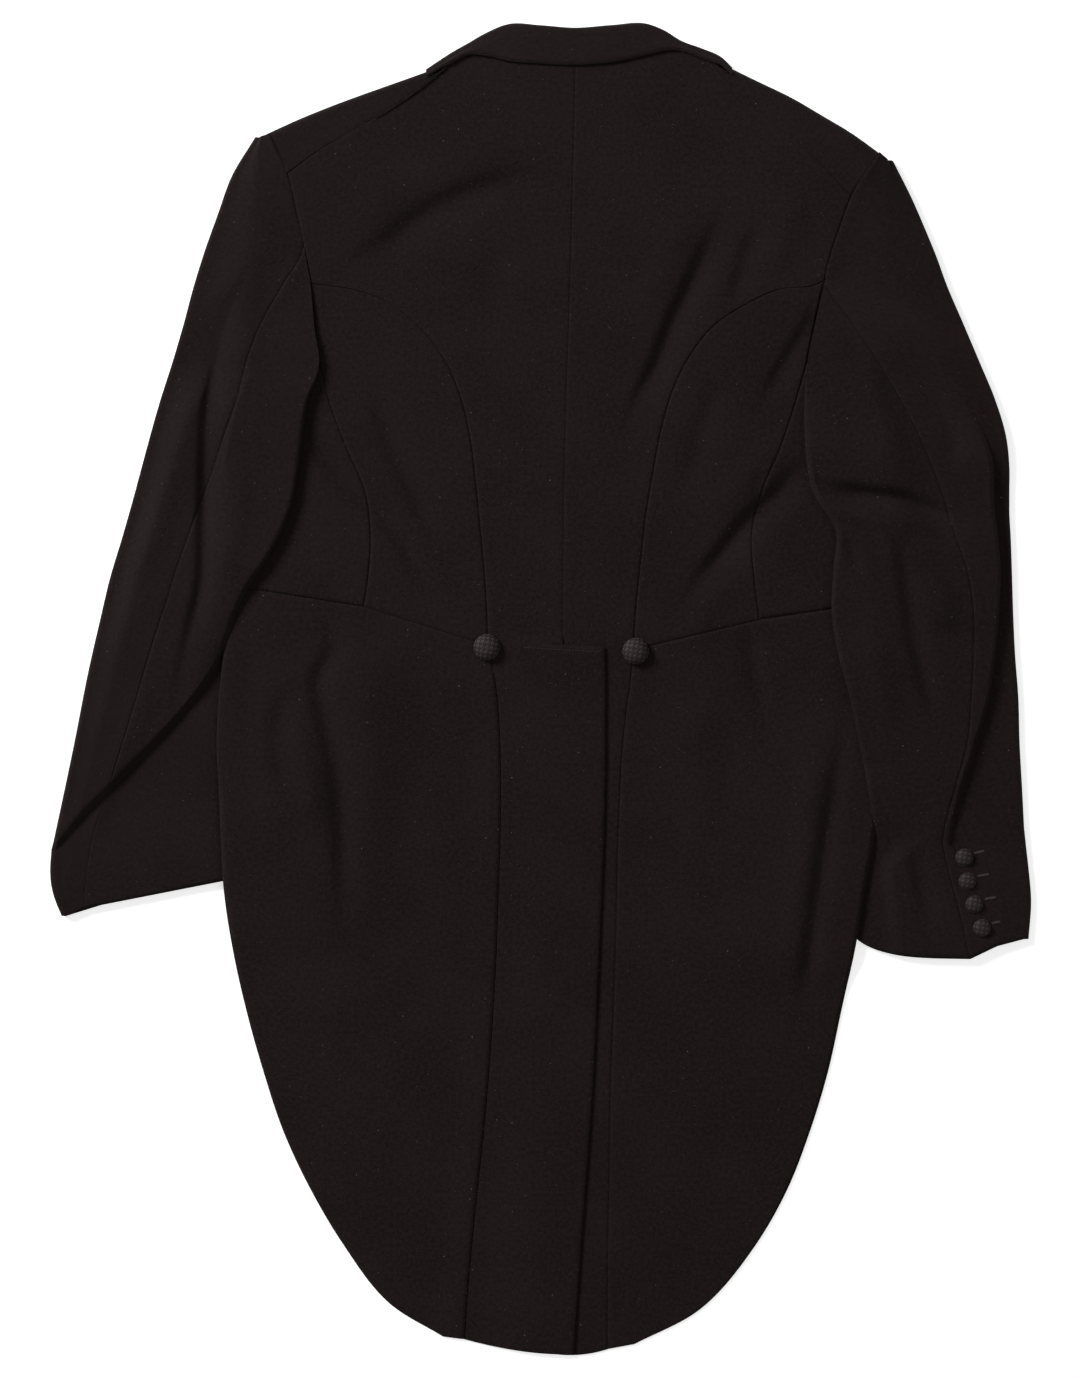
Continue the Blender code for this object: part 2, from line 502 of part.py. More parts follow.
def build_skirt(side, cloth):
    """Half skirt from the pleat, round the side and under, cut away to the tail."""
    sign = -1.0 if side == "left" else 1.0
    outward = np.array([sign, 0.0])
    waist = [SKIRT_START[side], SIDE[side][-1][0], tuple(np.array(SIDE_FOLD[side][-1]) - REACH * outward)]
    first = np.concatenate([line(waist[0], waist[1], 6), line(waist[1], waist[2], 5)[1:]])
    reach = np.linalg.norm(first - first[0], axis=1)
    shares = reach / reach[-1]
    pleat = np.array([row[0] for row in TAIL[side]], float)
    edge = np.array([row[1] for row in TAIL[side]], float)
    wrapped = [row for row in TAIL[side] if row[2] is not None]
    flat_end = edge.copy()
    flat_end[:len(wrapped)] -= REACH * outward
    plan = np.concatenate([first[None], rows_between(pleat, flat_end, shares)])
    plan = seam_inset(plan, last=0.0, top=SEAM)
    x, y = plan[..., 0], plan[..., 1]
    z = upper_face(x, y)
    if side == "left":
        inside = ease((pleat_distance(plan) - 2.0) / PLEAT_WIDTH)
        z = z + PLEAT_STEP * ease((24.0 - y) / 20.0) * (1 - inside)
    count = len(wrapped) + 1
    fold = plan[:count, -1] + REACH * outward
    cuff_y, cuff_height = np.array(SKIRT_ON_CUFF, float).T
    z_low = np.interp(fold[:, 1], cuff_y, cuff_height) if side == "left" else np.zeros(count)
    fold_patch = folded_edge(fold, np.tile(outward, (count, 1)), z[:count, -1], z_low)
    ends = np.array([wrapped[0][2] - sign * 8] + [row[2] for row in wrapped], float)
    start = plan[:count, -1]
    stop = np.stack([ends, start[:, 1]], axis=1)
    front_x, front_y = FRONT[side][-1][0]
    share = (ends[0] - front_x) / (start[0, 0] - front_x)
    stop[0, 1] = front_y + share * (start[0, 1] - front_y) - 2 * SEAM
    span = np.abs(ends - start[:, 0])
    steps = np.stack([np.zeros(count), np.minimum(11.0, span * 0.4), np.minimum(26.0, span * 0.8), span])
    under = start[:, None, :] + (stop - start)[:, None, :] * (steps / span).T[..., None]
    z_under = z_low[:, None] * (1 - ease((steps.T - 12.0) / 13.0))
    return panel(f"skirt_{side}", [wall(plan, z), join_columns(fold_patch, hidden_wall(under, z_under))],
                 cloth)


def build_collar(cloth):
    """Collar: the fall on the back, folded over the neck, its front below."""
    table = np.array(COLLAR, float)
    x, top, fall, front = table.T
    outward = np.tile([0.0, 1.0], (len(table), 1))
    edge = np.stack([x, top], axis=1)
    flat = edge - REACH * outward
    low = np.zeros(len(table))
    upper = np.stack([np.stack([x, fall], axis=1), (np.stack([x, fall], axis=1) + flat) / 2, flat], axis=1)
    z_upper = np.tile([COLLAR_EDGE, COLLAR_TOP, COLLAR_TOP], (len(table), 1))
    under = np.stack([flat, np.stack([x, front], axis=1)], axis=1)
    patch = join_columns(wall(upper, z_upper), folded_edge(edge, outward, z_upper[:, -1], low),
                         hidden_wall(under, np.zeros(under.shape[:2])))
    return panel("collar", [patch], cloth)


def sleeve_rows(side):
    """The sleeve table as one dictionary of arrays."""
    columns = zip(*SLEEVE[side])
    return {name: np.array(values, float) for name, values in zip(SLEEVE_ROW, columns)}


def bowed(first, last, shares, bow):
    """Rows between two edges, bowed down most at a third of the way from the inner edge."""
    plan = rows_between(first, last, shares)
    hump = np.sin(np.pi * np.array(shares) ** 0.6)
    plan[..., 1] += bow[:, None] * hump[None, :]
    return plan


def build_sleeve(side, cloth):
    """Two-piece sleeve: top sleeve outside the hind-arm seam, under sleeve inside it."""
    sign = -1.0 if side == "left" else 1.0
    outward = np.array([sign, 0.0])
    rows = sleeve_rows(side)
    cap, hind = CAP_ROWS[side], HIND_ROW[side]
    count = len(rows["lift"])
    flat_outer = rows["outer"] - REACH * outward
    crease = rows["hind"] + (flat_outer - rows["hind"]) * rows["crease"][:, None]
    past = toward(crease, flat_outer, CREASE_GAP)

    def height(plan, z_first, z_last, amount):
        """Eased height from the first to the last column, with an amount of the folds."""
        share = np.linspace(0.0, 1.0, plan.shape[1])[None, :]
        base = z_first[:, None] + (z_last - z_first)[:, None] * ease(share)
        folds = relief(SLEEVE_FOLDS, plan[..., 0], plan[..., 1]) * np.clip((base - 6) / 4, 0, 1)
        return base + amount * folds

    apart = np.linalg.norm(rows["hind"] - rows["inner"], axis=1)
    near = np.where(np.arange(count) > hind, ease(1.0 - (apart - rows["hold"]) / 20.0), 1.0)
    z_hind = rows["z_crease"] + (rows["z_inner"] - rows["z_crease"]) * near
    bend = np.sin(np.pi * 0.75) * rows["bow"]
    hind_line = rows["hind"] + np.stack([np.zeros(count), bend * 0.5], axis=1)
    inner_side = rows_between(toward(hind_line, flat_outer, SEAM), crease, [0.0, 0.5, 1.0])
    outer_side = rows_between(past, flat_outer, [0.0, 0.5, 1.0])
    z_inner_side = height(inner_side, z_hind, rows["z_crease"], 1.0)
    z_past = np.where(rows["crease"] == 0.5, rows["z_crease"], rows["z_outer"] + 0.8)
    z_outer_side = height(outer_side, z_past, rows["z_outer"], 0.0)
    top_plan = np.concatenate([inner_side, outer_side], axis=1)
    z_top = np.concatenate([z_inner_side, z_outer_side], axis=1)
    low = np.zeros(count)
    inseam = rows["inseam"]
    under_top = rows_between(flat_outer, toward(inseam, flat_outer, SEAM), [0.0, 0.5, 1.0])
    top_patch = join_columns(wall(top_plan, z_top),
                             folded_edge(rows["outer"], np.tile(outward, (count, 1)), z_top[:, -1], low),
                             hidden_wall(under_top, np.zeros(under_top.shape[:2])))
    panel(f"sleeve_{side}_top", [top_patch], cloth)

    part = slice(hind, count)
    inner = rows["inner"].copy()
    inner[cap + 1:] += REACH * outward
    inner[:cap + 1] = toward(inner[:cap + 1], rows["outer"][:cap + 1], 2 * SEAM)
    seam = toward(hind_line, inner, SEAM)[part]
    plan = bowed(inner[part], seam, np.linspace(0, 1, 6), rows["bow"][part] * 0.8)
    plan[:, -1] = seam
    run = np.linalg.norm(plan - plan[:, :1], axis=2)
    hold = rows["hold"][part][:, None]
    fall = ease((run - hold) / np.maximum(run[:, -1:] - hold, 1.0))
    z_upper = rows["z_inner"][part][:, None] + (z_hind - rows["z_inner"])[part][:, None] * fall
    z_upper += relief(SLEEVE_FOLDS, plan[..., 0], plan[..., 1]) * np.clip((z_upper - 6) / 4, 0, 1)
    wrap = slice(cap + 1, count)
    flat_inner = plan[cap + 1 - hind:, 0]
    number = len(flat_inner)
    lift = rows["lift"][wrap]
    far = toward(inseam[wrap], flat_inner, SEAM)
    span = np.linalg.norm(far - flat_inner, axis=1)
    hold = np.clip(rows["hold"][wrap], 8.0, span * 0.75)
    stops = np.stack([np.zeros(number), hold, np.minimum(hold + 14.0, span * 0.9), span], axis=1)
    lower = flat_inner[:, None, :] + (far - flat_inner)[:, None, :] * (stops / span[:, None])[..., None]
    z_lower = np.stack([lift, lift, lift * 0.15, np.zeros(number)], axis=1)
    fold_patch = folded_edge(flat_inner - REACH * outward, np.tile(-outward, (number, 1)),
                             z_upper[cap + 1 - hind:, 0], lift)
    under_patches = [wall(plan, z_upper), join_columns(fold_patch, hidden_wall(lower, z_lower))]
    panel(f"sleeve_{side}_under", under_patches, cloth)


def build_button(name, x, y, z, diameter, cloth):
    """Cloth-covered dome button, turned from its profile."""
    size = diameter * MM
    mesh = bmesh.new()
    points = [mesh.verts.new((radius * size, 0.0, height * size)) for radius, height in BUTTON_PROFILE]
    edges = [mesh.edges.new(pair) for pair in zip(points, points[1:])]
    bmesh.ops.spin(mesh, geom=points + edges, cent=(0, 0, 0), axis=(0, 0, 1), angle=2 * math.pi,
                   steps=20, use_merge=True, use_duplicate=False)
    bmesh.ops.remove_doubles(mesh, verts=mesh.verts, dist=0.00001)
    bmesh.ops.recalc_face_normals(mesh, faces=mesh.faces)
    bmesh.ops.translate(mesh, verts=mesh.verts, vec=(x * MM, y * MM, z * MM))
    data = bpy.data.meshes.new(name)
    mesh.to_mesh(data)
    mesh.free()
    data.materials.append(cloth)
    collection.objects.link(bpy.data.objects.new(name, data))


for old in list(bpy.data.objects):
    bpy.data.objects.remove(old, do_unlink=True)
collection = bpy.data.collections.new("white_tie_tailcoat")
bpy.context.scene.collection.children.link(collection)

wool = material("black_wool", (0.013, 0.010, 0.010), 0.85)
lapel_cloth = material("lapel_wool", (0.012, 0.010, 0.010), 0.7)
covered = material("covered_button", (0.05, 0.042, 0.040), 0.6)

for side_name in ("left", "right"):
    build_back(side_name, wool)
    build_side_body(side_name, wool)
    build_forepart(side_name, wool)
    build_lapel(side_name, lapel_cloth)
    build_skirt(side_name, wool)
    build_sleeve(side_name, wool)
build_collar(wool)
for button in BUTTONS:
    build_button(*button, covered)
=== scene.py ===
import math

import bmesh
import bpy
import numpy as np
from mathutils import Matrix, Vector


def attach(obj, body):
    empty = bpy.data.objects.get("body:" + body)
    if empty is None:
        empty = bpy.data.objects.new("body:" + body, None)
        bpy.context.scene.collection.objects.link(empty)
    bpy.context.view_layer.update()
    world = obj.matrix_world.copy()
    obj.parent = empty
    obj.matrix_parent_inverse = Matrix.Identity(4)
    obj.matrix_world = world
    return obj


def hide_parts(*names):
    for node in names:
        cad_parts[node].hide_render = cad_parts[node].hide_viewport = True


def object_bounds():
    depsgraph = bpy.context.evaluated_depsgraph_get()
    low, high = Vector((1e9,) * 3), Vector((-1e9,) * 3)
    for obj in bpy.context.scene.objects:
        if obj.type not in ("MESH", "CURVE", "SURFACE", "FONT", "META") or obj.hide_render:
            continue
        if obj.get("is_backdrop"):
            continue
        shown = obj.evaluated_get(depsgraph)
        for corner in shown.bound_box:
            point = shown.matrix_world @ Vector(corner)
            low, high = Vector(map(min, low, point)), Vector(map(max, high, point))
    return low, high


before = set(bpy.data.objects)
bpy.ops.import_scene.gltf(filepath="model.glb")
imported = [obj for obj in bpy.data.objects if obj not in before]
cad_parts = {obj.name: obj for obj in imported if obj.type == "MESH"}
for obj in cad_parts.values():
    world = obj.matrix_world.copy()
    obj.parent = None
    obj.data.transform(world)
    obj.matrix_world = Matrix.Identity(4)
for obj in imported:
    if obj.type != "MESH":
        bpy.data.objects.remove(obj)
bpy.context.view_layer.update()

# --- Studio ------------------------------------------------------------------------------------
# The coat lies on a pale table top and is photographed from straight above, under a broad soft
# light from the upper left with bright surroundings.
PHOTO_HEIGHT = 1.0748         # metres of table that the frame covers, from top to bottom
CAMERA_HEIGHT = 3.0
SENSOR = 36.0
FLOOR_SIZE = 6.0
FLOOR_GREY = 0.85
ROOM_GLOW = 0.2               # brightness of the bright room all round
FLOOR_GLOW = 0.62             # the table top is lit from below as well, so that no shadow is dark

camera_data = bpy.data.cameras.new("camera")
camera_data.sensor_width = SENSOR
camera_data.lens = SENSOR * CAMERA_HEIGHT / PHOTO_HEIGHT
camera = bpy.data.objects.new("camera", camera_data)
camera.location = (0.0, 0.0004, CAMERA_HEIGHT + 0.01)
bpy.context.scene.collection.objects.link(camera)
bpy.context.scene.camera = camera
bpy.context.scene.view_settings.view_transform = "Standard"

half_floor = FLOOR_SIZE / 2
floor_mesh = bpy.data.meshes.new("table_top")
floor_mesh.from_pydata([(-half_floor, -half_floor, 0), (half_floor, -half_floor, 0),
                        (half_floor, half_floor, 0), (-half_floor, half_floor, 0)], [], [(0, 1, 2, 3)])
floor = bpy.data.objects.new("table_top", floor_mesh)
bpy.context.scene.collection.objects.link(floor)
floor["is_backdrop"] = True
paper = bpy.data.materials.new("pale_paper")
paper.use_nodes = True
paper_shader = paper.node_tree.nodes["Principled BSDF"]
paper_shader.inputs["Base Color"].default_value = (FLOOR_GREY, FLOOR_GREY, FLOOR_GREY, 1.0)
paper_shader.inputs["Roughness"].default_value = 1.0
paper_shader.inputs["Specular IOR Level"].default_value = 0.0
paper_shader.inputs["Emission Color"].default_value = (1.0, 1.0, 1.0, 1.0)
paper_shader.inputs["Emission Strength"].default_value = FLOOR_GLOW
floor_mesh.materials.append(paper)

world = bpy.data.worlds.new("studio")
world.use_nodes = True
world.node_tree.nodes["Background"].inputs["Color"].default_value = (1.0, 1.0, 1.0, 1.0)
world.node_tree.nodes["Background"].inputs["Strength"].default_value = ROOM_GLOW
bpy.context.scene.world = world


def add_soft_box(name, place, power, size):
    """Round soft box that stands at a place and faces the coat; its light falls off across it."""
    data = bpy.data.lights.new(name, "AREA")
    data.shape = "DISK"
    data.energy = power
    data.size = size
    lamp = bpy.data.objects.new(name, data)
    lamp.location = place
    lamp.rotation_mode = "QUATERNION"
    lamp.rotation_quaternion = Vector(place).to_track_quat("Z", "Y")
    bpy.context.scene.collection.objects.link(lamp)


def add_sun(name, toward_light, strength, angle):
    """Distant soft light: it shines from a direction, as wide as an angle in degrees."""
    data = bpy.data.lights.new(name, "SUN")
    data.energy = strength
    data.angle = math.radians(angle)
    lamp = bpy.data.objects.new(name, data)
    lamp.rotation_mode = "QUATERNION"
    lamp.rotation_quaternion = Vector(toward_light).to_track_quat("Z", "Y")
    bpy.context.scene.collection.objects.link(lamp)


add_soft_box("key_light", place=(-3.25, 2.45, 2.35), power=228.0, size=1.7)
add_sun("fill_light", toward_light=(0.5, -0.3, 1.0), strength=0.45, angle=60)

# --- Cloth ---------------------------------------------------------------------------------------
# Black dress wool: a fine twill with a short nap, a little worn grey on its crests, with stray
# specks of lint. Every panel of the coat is cut from it.
MM = 0.001


class Signal:
    """A socket of a material. Its operators add the Math node of the same name."""

    def __init__(self, finish, socket):
        self.finish = finish
        self.socket = socket

    def math(self, operation, *others):
        return self.finish.node("ShaderNodeMath", {"operation": operation}, [self, *others])

    def __add__(self, other):
        return self.math("ADD", other)

    __radd__ = __add__

    def __mul__(self, other):
        return self.math("MULTIPLY", other)

    __rmul__ = __mul__

    def __sub__(self, other):
        return self.math("SUBTRACT", other)

    def __rsub__(self, other):
        return self * -1.0 + other

    def over(self, low, high):
        """0 below low and 1 above high, smooth between them."""
        return self.finish.node("ShaderNodeMapRange", {"interpolation_type": "SMOOTHSTEP"},
                                {"Value": self, "From Min": low, "From Max": high})


class Finish:
    """A material, made node by node."""

    def __init__(self, name):
        self.material = bpy.data.materials.new(name)
        self.material.use_nodes = True
        self.tree = self.material.node_tree
        self.shader = self.tree.nodes["Principled BSDF"]

    def node(self, kind, settings=(), sockets=(), output=0):
        """One node: its settings first, then the value or link of each socket it names."""
        made = self.tree.nodes.new(kind)
        for key, value in dict(settings).items():
            setattr(made, key, value)
        named = dict(enumerate(sockets)) if isinstance(sockets, list) else dict(sockets)
        for key, value in named.items():
            self.feed(made.inputs[key], value)
        return Signal(self, made.outputs[output])

    def feed(self, socket, value):
        if isinstance(value, Signal):
            self.tree.links.new(value.socket, socket)
        else:
            socket.default_value = value

    def set(self, **sockets):
        """Values or links of the shader's own sockets, spaces written as underscores."""
        for key, value in sockets.items():
            self.feed(self.shader.inputs[key.replace("_", " ")], value)

    def noise(self, place, scale, detail=2.0, roughness=0.5):
        return self.node("ShaderNodeTexNoise", {}, {"Vector": place, "Scale": scale, "Detail": detail,
                                                    "Roughness": roughness})

    def blend(self, share, first, second):
        """Colour between two colours."""
        mix = self.tree.nodes.new("ShaderNodeMix")
        mix.data_type = "RGBA"
        for index, value in ((0, share), (6, first), (7, second)):
            self.feed(mix.inputs[index], value)
        return Signal(self, mix.outputs[2])


def wool(name, dark, light, lint, twill=1500.0, roughness=0.92):
    """Woollen cloth: nap and twill from the flat cloth's own coordinates, in metres."""
    cloth = Finish(name)
    place = cloth.node("ShaderNodeUVMap", {"uv_map": "cloth"})
    yarn = cloth.node("ShaderNodeTexWave", {"wave_type": "BANDS", "bands_direction": "DIAGONAL"},
                      {"Vector": place, "Scale": twill, "Distortion": 2.0, "Detail": 1.0,
                       "Detail Scale": 0.6})
    nap = cloth.noise(place, 900.0, 3.0, 0.6)
    fuzz = cloth.noise(place, 330.0, 3.0, 0.6)
    patch = cloth.noise(place, 14.0, 3.0, 0.55)
    crest = (nap * 0.5 + fuzz * 0.5).over(0.39, 0.63)
    tone = crest * 0.55 + yarn * 0.2 + patch.over(0.3, 0.7) * 0.18
    hair = 0.0
    for scale, radius in ((95.0, 0.055), (230.0, 0.085)):
        cells = {"Vector": place, "Scale": scale}
        speck = cloth.node("ShaderNodeTexVoronoi", {"feature": "F1"}, cells)
        pick = cloth.node("ShaderNodeTexVoronoi", {"feature": "F1"}, cells, "Color")
        chosen = cloth.node("ShaderNodeSeparateColor", {}, {"Color": pick}).over(0.55, 0.95)
        hair = (1.0 - speck.over(radius * 0.5, radius)) * chosen + hair
    colour = cloth.blend(tone, (*dark, 1.0), (*light, 1.0))
    colour = cloth.blend(hair * 0.75, colour, (*lint, 1.0))
    height = nap * 0.5 + fuzz * 0.8 + yarn * 0.25 + hair * 1.0
    bump = cloth.node("ShaderNodeBump", {}, {"Strength": 0.55, "Distance": 0.0007, "Height": height})
    cloth.set(Base_Color=colour, Normal=bump, Roughness=tone * -0.06 + roughness)
    cloth.set(Specular_IOR_Level=0.1, Sheen_Weight=0.02, Sheen_Roughness=0.5)
    return cloth.material


black_wool = wool("black_wool", dark=(0.0074, 0.0045, 0.0044), light=(0.0220, 0.0135, 0.0135),
                  lint=(0.20, 0.16, 0.15))


def fair_curve(points, steps, corners=()):
    """Smooth curve through points, steps to a span: cubic Hermite spans whose slopes are the mean
    of the two chords' slopes, weighted by the other chord's length. It breaks at the corners."""
    points = np.array(points, float).reshape(len(points), -1)
    stops = [0, *corners, len(points) - 1]
    pieces = []
    t = np.linspace(0.0, 1.0, steps, endpoint=False)[None, :, None]
    for first, last in zip(stops, stops[1:]):
        run = points[first:last + 1]
        chord = np.maximum(np.linalg.norm(np.diff(run, axis=0), axis=1, keepdims=True), 1e-6)
        slope = np.diff(run, axis=0) / chord
        bend = np.concatenate([slope[:1], (slope[:-1] * chord[1:] + slope[1:] * chord[:-1])
                               / (chord[:-1] + chord[1:]), slope[-1:]])
        start, end = bend[:-1] * chord, bend[1:] * chord
        span = (run[:-1, None] * (2 * t ** 3 - 3 * t ** 2 + 1) + start[:, None] * (t ** 3 - 2 * t ** 2 + t)
                + run[1:, None] * (3 * t ** 2 - 2 * t ** 3) + end[:, None] * (t ** 3 - t ** 2))
        pieces.append(span.reshape(-1, points.shape[1]))
    return np.concatenate(pieces + [points[-1:]])


def ease(t):
    """Smooth step from 0 to 1: 3t^2 - 2t^3."""
    t = np.clip(t, 0.0, 1.0)
    return t * t * (3.0 - 2.0 * t)


def smooth_value(x, places, values):
    """Value at x of a smooth curve through places and values, looked up on a fine table."""
    fine = fair_curve(np.stack([places, values], axis=1), 12)
    return np.interp(x, fine[:, 0], fine[:, 1])


def relief(folds, x, y):
    """Sum of soft folds, heights in millimetres. Across a fold the height is a bell, exp(-(d/w)^2),
    narrower on one side where the fold leans. It fades out over 30 % of its length at both ends."""
    total = np.zeros(np.broadcast(x, y).shape)
    for points, width, height, lean in folds:
        path = fair_curve(points, 5) if len(points) > 2 else np.array(points, float)
        step = np.diff(path, axis=0)
        length = np.hypot(step[:, 0], step[:, 1])
        step = step / length[:, None]
        starts = np.concatenate([[0.0], np.cumsum(length)])
        margin = 3.2 * width * (1 + abs(lean))
        low, high = path.min(axis=0) - margin, path.max(axis=0) + margin
        near = (x > low[0]) & (x < high[0]) & (y > low[1]) & (y < high[1])
        if not near.any():
            continue
        px, py = x[near][:, None] - path[:-1, 0], y[near][:, None] - path[:-1, 1]
        run = np.clip(px * step[:, 0] + py * step[:, 1], 0.0, length)
        off = np.hypot(px - run * step[:, 0], py - run * step[:, 1])
        best = off.argmin(axis=1)[:, None]
        distance = np.take_along_axis(off, best, 1)[:, 0]
        side = np.take_along_axis(step[:, 0] * py - step[:, 1] * px, best, 1)[:, 0]
        along = np.take_along_axis(run + starts[:-1], best, 1)[:, 0] / starts[-1]
        spread = width * (1.0 + lean * np.tanh(side / width))
        fade = ease(along / 0.3) * ease((1.0 - along) / 0.3)
        total[near] += height * (0.15 + 0.85 * fade) * np.exp(-(distance / spread) ** 2)
    return total


def ripple(x, y, seed, size, count=9):
    """Gentle unevenness of lying cloth: a sum of seeded sine waves, about one size long."""
    draw = np.random.default_rng(seed)
    total = np.zeros(np.broadcast(x, y).shape)
    for turn, phase, share in zip(draw.uniform(0, math.pi, count), draw.uniform(0, 2 * math.pi, count),
                                  draw.uniform(0.6, 1.6, count)):
        wave = 2 * math.pi / (size * share)
        total += np.sin(wave * (x * math.cos(turn) + y * math.sin(turn)) + phase) * share
    return total / count


def toward(points, target, distance):
    """Points moved a distance toward the matching targets."""
    step = np.array(target, float) - points
    return points + step * (distance / np.maximum(np.linalg.norm(step, axis=-1, keepdims=True), 1e-6))


ROLL_STOPS = np.array([0.0, 0.35, 0.75, 1.3, 2.2, 3.8])    # columns beside a seam, in mm from it
ROLL_ROWS = 3                 # extra rows of a grid beside its seamed ends


def spaced(first, last, columns, start=True, end=True):
    """Plan (row, column, 2) between two edges: even columns, closer together beside a seam."""
    width = np.linalg.norm(last - first, axis=1)[:, None]
    squeeze = np.minimum(1.0, width / (3.0 * ROLL_STOPS[-1]))
    head = ROLL_STOPS * squeeze if start else 0.0 * width
    tail = width - ROLL_STOPS[::-1] * squeeze if end else width
    between = np.linspace(0.0, 1.0, columns + 2)[1:-1]
    middle = head[:, -1:] + (tail[:, :1] - head[:, -1:]) * between
    share = np.concatenate([head, middle, tail], axis=1) / width
    return first[:, None, :] + (last - first)[:, None, :] * share[..., None]


def closer_rows(grid, top=True, bottom=True):
    """The grid with extra rows beside its first and last rows, where a seam rolls down."""
    shares = ROLL_STOPS[1:1 + ROLL_ROWS] / 3.2
    rows = [grid]
    if top:
        extra = grid[:1] + (grid[1:2] - grid[:1]) * shares[:, None, None]
        rows = [grid[:1], extra, grid[1:]]
    if bottom:
        last = rows.pop()
        extra = last[-1:] + (last[-2:-1] - last[-1:]) * shares[::-1, None, None]
        rows += [last[:-1], extra, last[-1:]]
    return np.concatenate(rows)


def edge_distance(plan, sides):
    """Distance in mm of each grid point from the nearest of the named sides of its panel."""
    found = np.full(plan.shape[:2], 1e3)
    across = np.cumsum(np.linalg.norm(np.diff(plan, axis=1, prepend=plan[:, :1]), axis=2), axis=1)
    down = np.cumsum(np.linalg.norm(np.diff(plan, axis=0, prepend=plan[:1]), axis=2), axis=0)
    distances = {"first": across, "last": across[:, -1:] - across, "top": down, "bottom": down[-1:] - down}
    for side in sides:
        found = np.minimum(found, distances[side])
    return found


def seam_depth(y):
    """Depth of a seam in mm: full on the body, faint where it is pressed flat on the shoulder."""
    return 0.85 - 0.7 * ease((y - 395.0) / 40.0)


def seam_roll(distance, depth=0.85):
    """Cloth turning down into a seam, and the faint ridge of the allowance pressed open under it."""
    ridge = 0.12 * ease(distance / 2.5) * (1 - ease((distance - 6.0) / 4.0))
    return ridge - depth * np.exp(-(distance / 0.75) ** 2)


def edge_dip(distance, depth, width=1.2):
    """Cloth turning down at a pressed edge: depth times exp(-(distance / width)^2)."""
    return depth * np.exp(-(distance / width) ** 2)


def raised(plan, height):
    """A plan and its heights as points (row, column, 3)."""
    return np.dstack([plan, height])


CLOTH_WALL = 1.6              # mm of cloth, canvas and lining together


def cloth_piece(name, grids, faces_up, finish, wall=CLOTH_WALL, grain=0.0):
    """Cloth from grids of points in mm, welded where they meet, with its wall inwards. Its map "cloth"
    holds the flat cloth in metres: across, the length measured on the row; down, the column's."""
    places, quads, maps, count = [], [], [], 0
    for grid, up in zip(grids, faces_up):
        rows, columns = grid.shape[:2]
        index = np.arange(rows * columns).reshape(rows, columns)
        cell = np.stack([index[:-1, :-1], index[:-1, 1:], index[1:, 1:], index[1:, :-1]], axis=-1)
        normal = np.cross(grid[1:, :-1] - grid[:-1, :-1], grid[:-1, 1:] - grid[:-1, :-1])[:, :4, 2].sum()
        cell = cell.reshape(-1, 4)
        if (normal > 0) == up:
            cell = cell[:, ::-1]
        across = np.cumsum(np.linalg.norm(np.diff(grid, axis=1, prepend=grid[:, :1]), axis=2), axis=1)
        side = 1.0 if grid[:, -1, 0].mean() > grid[:, 0, 0].mean() else -1.0
        flat = np.stack([grid[:, :1, 0] + side * across, grid[..., 1] + 0.0 * across], axis=-1) * MM
        turn = np.array([[math.cos(grain), -math.sin(grain)], [math.sin(grain), math.cos(grain)]])
        maps.append(flat.reshape(-1, 2) @ turn)
        places.append(grid.reshape(-1, 3) * MM)
        quads.append(cell + count)
        count += rows * columns
    places, quads, maps = np.concatenate(places), np.concatenate(quads), np.concatenate(maps)
    mesh = bpy.data.meshes.new(name)
    mesh.from_pydata(places, [], quads)
    layer = mesh.uv_layers.new(name="cloth")
    corners = np.empty(len(mesh.loops), int)
    mesh.loops.foreach_get("vertex_index", corners)
    layer.data.foreach_set("uv", maps[corners].ravel())
    welded = bmesh.new()
    welded.from_mesh(mesh)
    bmesh.ops.remove_doubles(welded, verts=welded.verts, dist=0.00002)
    welded.to_mesh(mesh)
    welded.free()
    mesh.polygons.foreach_set("use_smooth", np.ones(len(mesh.polygons), bool))
    mesh.materials.append(finish)
    piece = bpy.data.objects.new(name, mesh)
    bpy.context.scene.collection.objects.link(piece)
    if wall:
        solid = piece.modifiers.new("wall", "SOLIDIFY")
        solid.thickness = wall * MM
        solid.offset = -1.0
    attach(piece, "root")
    return piece


# --- Back ----------------------------------------------------------------------------------------
# Two panels of wool, each cut in one with its tail and joined down the centre back as far as the
# waist. Below it the left tail laps over the right one, tacked down by a short stitched hook.
# Tables are in millimetres. Each row is one section across the coat.
STEPS = 10                    # fine rows to each row of a table
CENTRE_BACK = [(36, 17.5), (208, 20), (330, 24), (500, 28)]      # y, x

# shoulder seam, y at the centre back, folded edge of the shoulder on the front's strap
SHOULDER = {
    "left": [((-74, 484), 500, (-84, 484)), ((-96, 467), 482, (-108, 475.5)),
             ((-122, 450), 465, (-135, 466)), ((-148, 434.5), 447, (-162, 456)),
             ((-173, 419.5), 430, (-189, 445)), ((-197, 402), 412, (-213, 434))],
    "right": [((129, 493), 500, (147, 486)), ((150, 470), 480, (171, 474.5)),
              ((174, 450), 461, (196, 462.5)), ((198, 430), 441, (220, 448.5)),
              ((221, 408), 421, (244, 434)), ((243, 385), 400, (266, 418))],
}
# armhole seam, y at the centre back
ARMHOLE = {
    "left": [((-190, 373), 386), ((-184, 345), 360), ((-179, 317), 336)],
    "right": [((234, 361), 378), ((227, 340), 356), ((222, 319), 338)],
}
